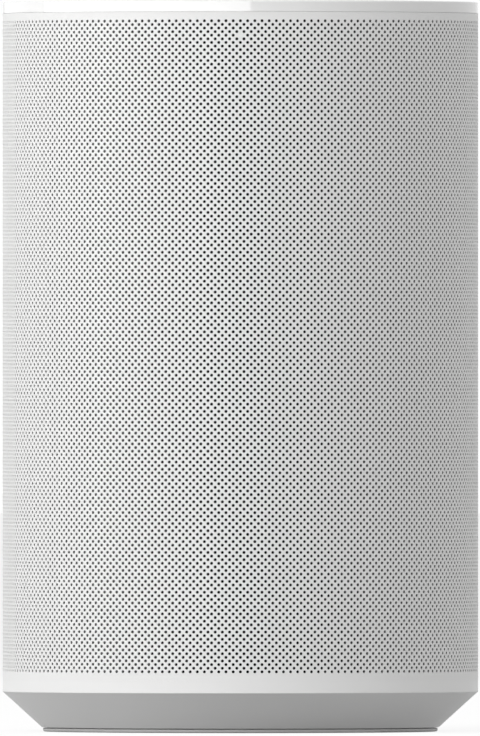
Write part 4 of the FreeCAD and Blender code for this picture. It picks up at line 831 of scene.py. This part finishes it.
SHEET = 0.5 * MM
HOLE_PITCH = 1.8 * MM
ROW_STEP = HOLE_PITCH / 2
HOLE_RADIUS = 0.385 * MM
HOLE_SIDES = 8
FIRST_ROW = 177.35 * MM
ROWS = 181
MARGIN_ROWS = 4
SECTION_COLUMNS = 21
SECTIONS = 9
END_COLUMNS = 4
SOLID_ROW = 4
CELL_SLACK = 0.01 * MM
SHADOW_GAP = 0.06 * MM
# The tone of the painted shade inside the holes.
HOLE_SHADE_TONE = (0.16, 0.16, 0.16, 1)
last_section = SECTIONS // 2


def add_rows(shape, first_row, last_row, first_column, columns, punched):
    """Adds staggered rows of diamond cells of flat sheet, each with a round hole when punched."""
    for start in (first_row, first_row + 1):
        rows = (last_row - start) // 2 + 1
        if rows < 1:
            continue
        block = bmesh.new()
        bmesh.ops.create_circle(block, segments=4, radius=ROW_STEP, cap_ends=not punched, matrix=upright)
        if punched:
            turned = upright @ Matrix.Rotation(math.pi / HOLE_SIDES, 4, "Z")
            bmesh.ops.create_circle(block, segments=HOLE_SIDES, radius=HOLE_RADIUS, matrix=turned)
            bmesh.ops.triangle_fill(block, edges=block.edges[:], use_beauty=True)
        across = first_column * HOLE_PITCH + start % 2 * ROW_STEP
        bmesh.ops.translate(block, verts=block.verts, vec=(across, 0, FIRST_ROW - start * ROW_STEP))
        for step, count in (((HOLE_PITCH, 0, 0), columns), ((0, 0, -HOLE_PITCH), rows)):
            if count > 1:
                bmesh.ops.spin(
                    block, geom=everything(block), axis=(0, 0, 1), dvec=step, angle=0,
                    steps=count - 1, use_duplicate=True,
                )
        add_copy(shape, block)


def make_flat_section(side, solid_hole):
    """A closed flat sheet with its holes. side is -1 or 1 for the two that end at the rear edges."""
    sheet = bmesh.new()
    first_column = -(SECTION_COLUMNS // 2)
    last_row = ROWS + MARGIN_ROWS - 1
    add_rows(sheet, 0, ROWS - 1, first_column, SECTION_COLUMNS, True)
    add_rows(sheet, -MARGIN_ROWS, -1, first_column, SECTION_COLUMNS, False)
    add_rows(sheet, ROWS, last_row, first_column, SECTION_COLUMNS, False)
    if side:
        first_bare = first_column + (SECTION_COLUMNS if side > 0 else -END_COLUMNS)
        add_rows(sheet, -MARGIN_ROWS, last_row, first_bare, END_COLUMNS, False)
    bmesh.ops.remove_doubles(sheet, verts=sheet.verts, dist=CELL_SLACK)
    if solid_hole:
        spot = Vector((0, 0, FIRST_ROW - SOLID_ROW * ROW_STEP))
        reach = HOLE_RADIUS + CELL_SLACK
        rim = [edge for edge in sheet.edges if all((vert.co - spot).length < reach for vert in edge.verts)]
        bmesh.ops.edgeloop_fill(sheet, edges=rim)
    cut_away(sheet, (0, 0, sheet_high.z - SHADOW_GAP), (0, 0, 1))
    cut_away(sheet, sheet_low, (0, 0, -1))
    if side:
        end = half_sheet - last_section * SECTION_COLUMNS * HOLE_PITCH
        cut_away(sheet, (side * end, 0, 0), (side, 0, 0))
    # depth is 0 on the front face and 1 on the back; it masks the painted shade inside the holes.
    depth = sheet.verts.layers.float.new("depth")
    for vert in thicken(sheet, (0, SHEET, 0)):
        vert[depth] = 1.0
    bmesh.ops.recalc_face_normals(sheet, faces=sheet.faces)
    mark_edges(sheet, sharpest=60)
    return sheet


grille_paint = finished(
    "grille_paint", moulded_grain, (0.83, 0.83, 0.825), (0.81, 0.81, 0.805), 0.5, 0.6,
    relief=0.02, grains_per_metre=2500, mottles_per_metre=60,
)

# Painted shade: the hole walls are painted darker towards the back of the sheet, standing in for the shade
# inside the holes.
paint_tree = grille_paint.node_tree
paint_shader = paint_tree.nodes["Principled BSDF"]
sheet_depth = paint_tree.nodes.new("ShaderNodeAttribute")
sheet_depth.attribute_name = "depth"
hole_shade = paint_tree.nodes.new("ShaderNodeMix")
hole_shade.data_type = "RGBA"
hole_shade.inputs[7].default_value = HOLE_SHADE_TONE
paint_tree.links.new(sheet_depth.outputs["Fac"], hole_shade.inputs["Factor"])
paint_tree.links.new(paint_shader.inputs["Base Color"].links[0].from_socket, hole_shade.inputs[6])
paint_tree.links.new(hole_shade.outputs[2], paint_shader.inputs["Base Color"])

plain_section = make_flat_section(0, solid_hole=False)
for number in range(SECTIONS):
    offset = number - last_section
    side = (offset > 0) - (offset < 0) if abs(offset) == last_section else 0
    plain = offset and not side
    sheet = plain_section.copy() if plain else make_flat_section(side, solid_hole=not offset)
    bmesh.ops.translate(sheet, verts=sheet.verts, vec=(offset * SECTION_COLUMNS * HOLE_PITCH, 0, 0))
    bend_round_body(sheet)
    section = piece_of(sheet, f"grille_section_{number + 1}", grille_paint)
    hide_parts("grille")
plain_section.free()


# ---------------------------------------------------------------- floor and background
# The speaker stands on a wide plain floor that meets a white background. What is seen of both is white,
# and the floor keeps the speaker's shadow, while the light that they give back to it is weaker.

FLOOR_WIDTH = 30.0
FLOOR_BOUNCE = 0.28
FLOOR_GLOW = 0.85


def direct_view(tree):
    """1 for what is seen directly, in a reflection or through glass, and 0 for light that only bounces."""
    add, link = tree.nodes.new, tree.links.new
    rays = add("ShaderNodeLightPath").outputs
    straight = maths(add, link, "MAXIMUM", rays["Is Camera Ray"], rays["Is Glossy Ray"])
    return maths(add, link, "MAXIMUM", straight, rays["Is Transmission Ray"])


floor_paint = bpy.data.materials.new("floor_paint")
floor_paint.use_nodes = True
floor_tree = floor_paint.node_tree
floor_shader = floor_tree.nodes["Principled BSDF"]
floor_shader.inputs["Roughness"].default_value = 1.0
floor_shader.inputs["Specular IOR Level"].default_value = 0.0
floor_seen = direct_view(floor_tree)
floor_tone = floor_tree.nodes.new("ShaderNodeMix")
floor_tone.data_type = "RGBA"
floor_tone.inputs[6].default_value = (FLOOR_BOUNCE, FLOOR_BOUNCE, FLOOR_BOUNCE, 1)
floor_tone.inputs[7].default_value = (1, 1, 1, 1)
floor_share = maths(floor_tree.nodes.new, floor_tree.links.new, "MULTIPLY", floor_seen, FLOOR_GLOW)
floor_light = floor_tree.nodes.new("ShaderNodeEmission")
floor_mix = floor_tree.nodes.new("ShaderNodeMixShader")
floor_tree.links.new(floor_seen, floor_tone.inputs["Factor"])
floor_tree.links.new(floor_tone.outputs[2], floor_shader.inputs["Base Color"])
floor_tree.links.new(floor_share, floor_mix.inputs["Fac"])
floor_tree.links.new(floor_shader.outputs["BSDF"], floor_mix.inputs[1])
floor_tree.links.new(floor_light.outputs["Emission"], floor_mix.inputs[2])
floor_tree.links.new(floor_mix.outputs["Shader"], floor_tree.nodes["Material Output"].inputs["Surface"])
floor_shape = bmesh.new()
bmesh.ops.create_grid(floor_shape, x_segments=1, y_segments=1, size=FLOOR_WIDTH / 2)
floor_mesh = bpy.data.meshes.new("floor")
floor_shape.to_mesh(floor_mesh)
floor_shape.free()
floor_mesh.materials.append(floor_paint)
floor = bpy.data.objects.new("floor", floor_mesh)
bpy.context.scene.collection.objects.link(floor)

SKY_GLOW = 0.4
studio = bpy.data.worlds.new("studio")
bpy.context.scene.world = studio
studio.use_nodes = True
sky_level = studio.node_tree.nodes.new("ShaderNodeMapRange")
sky_level.inputs["To Min"].default_value = SKY_GLOW
sky_level.inputs["To Max"].default_value = 1.0
backdrop = studio.node_tree.nodes["Background"]
backdrop.inputs["Color"].default_value = (1, 1, 1, 1)
studio.node_tree.links.new(direct_view(studio.node_tree), sky_level.inputs["Value"])
studio.node_tree.links.new(sky_level.outputs["Result"], backdrop.inputs["Strength"])


# ---------------------------------------------------------------- lamps
# Low strips, strong on the left and weak on the right and behind, draw the lines of gloss round the cap.
# Softboxes light it from the left, the right, the back and above. They are kept out of the gloss, so that
# none of them burns out the cap's white top.


def add_lamp(name, azimuth, elevation, distance, width, height, brightness, in_gloss=False):
    """A rectangular lamp that faces the speaker's middle. Azimuth is 0 in front, and negative to the left."""
    lamp = bpy.data.lights.new(name, "AREA")
    lamp.shape = "RECTANGLE"
    lamp.size = width
    lamp.size_y = height
    lamp.energy = brightness * math.pi * width * height
    holder = bpy.data.objects.new(name, lamp)
    middle = Matrix.Translation((0, 0, cad_high.z / 2))
    around = Matrix.Rotation(math.radians(azimuth), 4, "Z")
    tilt = Matrix.Rotation(math.radians(90 - elevation), 4, "X")
    holder.matrix_world = middle @ around @ tilt @ Matrix.Translation((0, 0, distance))
    holder.visible_camera = False
    holder.visible_glossy = in_gloss
    bpy.context.scene.collection.objects.link(holder)


add_lamp("left_strip", -52.5, 4, 1.6, 4.97, 0.15, 4.8, in_gloss=True)
add_lamp("back_left_strip", -135, 2, 1.6, 1.5, 0.15, 0.7, in_gloss=True)
add_lamp("right_strip", 60, 0, 1.6, 2.5, 0.15, 1.5, in_gloss=True)
add_lamp("front_softbox", -20, 35, 1.8, 1.0, 1.2, 0.7)
add_lamp("left_softbox", -50, 35, 1.8, 1.0, 1.2, 4.8)
add_lamp("right_softbox", 60, 20, 1.8, 1.0, 0.9, 1.8)
add_lamp("back_right_softbox", 150, 35, 1.8, 1.2, 0.8, 2.0)
add_lamp("back_left_softbox", -150, 35, 1.8, 1.2, 0.8, 1.0)
add_lamp("top_softbox", 0, 85, 1.8, 1.8, 1.8, 0.15)


# ---------------------------------------------------------------- camera
# A very long lens looks square at the front from the speaker's mid height, so that upright and level
# edges stay parallel, and the speaker fills the frame.

CAMERA_DISTANCE = 10.0125
CAMERA_X = -0.1 * MM
CAMERA_DROP = 0.3 * MM
camera_data = bpy.data.cameras.new("camera")
camera_data.lens = 1100
camera_data.sensor_fit = "VERTICAL"
camera_data.sensor_width = 36
camera_data.sensor_height = 20.25
camera_data.clip_start = 0.1
camera_data.clip_end = 50
camera = bpy.data.objects.new("camera", camera_data)
camera.location = (CAMERA_X, -CAMERA_DISTANCE, cad_high.z / 2 - CAMERA_DROP)
camera.rotation_euler = (math.radians(90), 0, 0)
bpy.context.scene.collection.objects.link(camera)
bpy.context.scene.camera = camera
bpy.context.scene.view_settings.view_transform = "Standard"
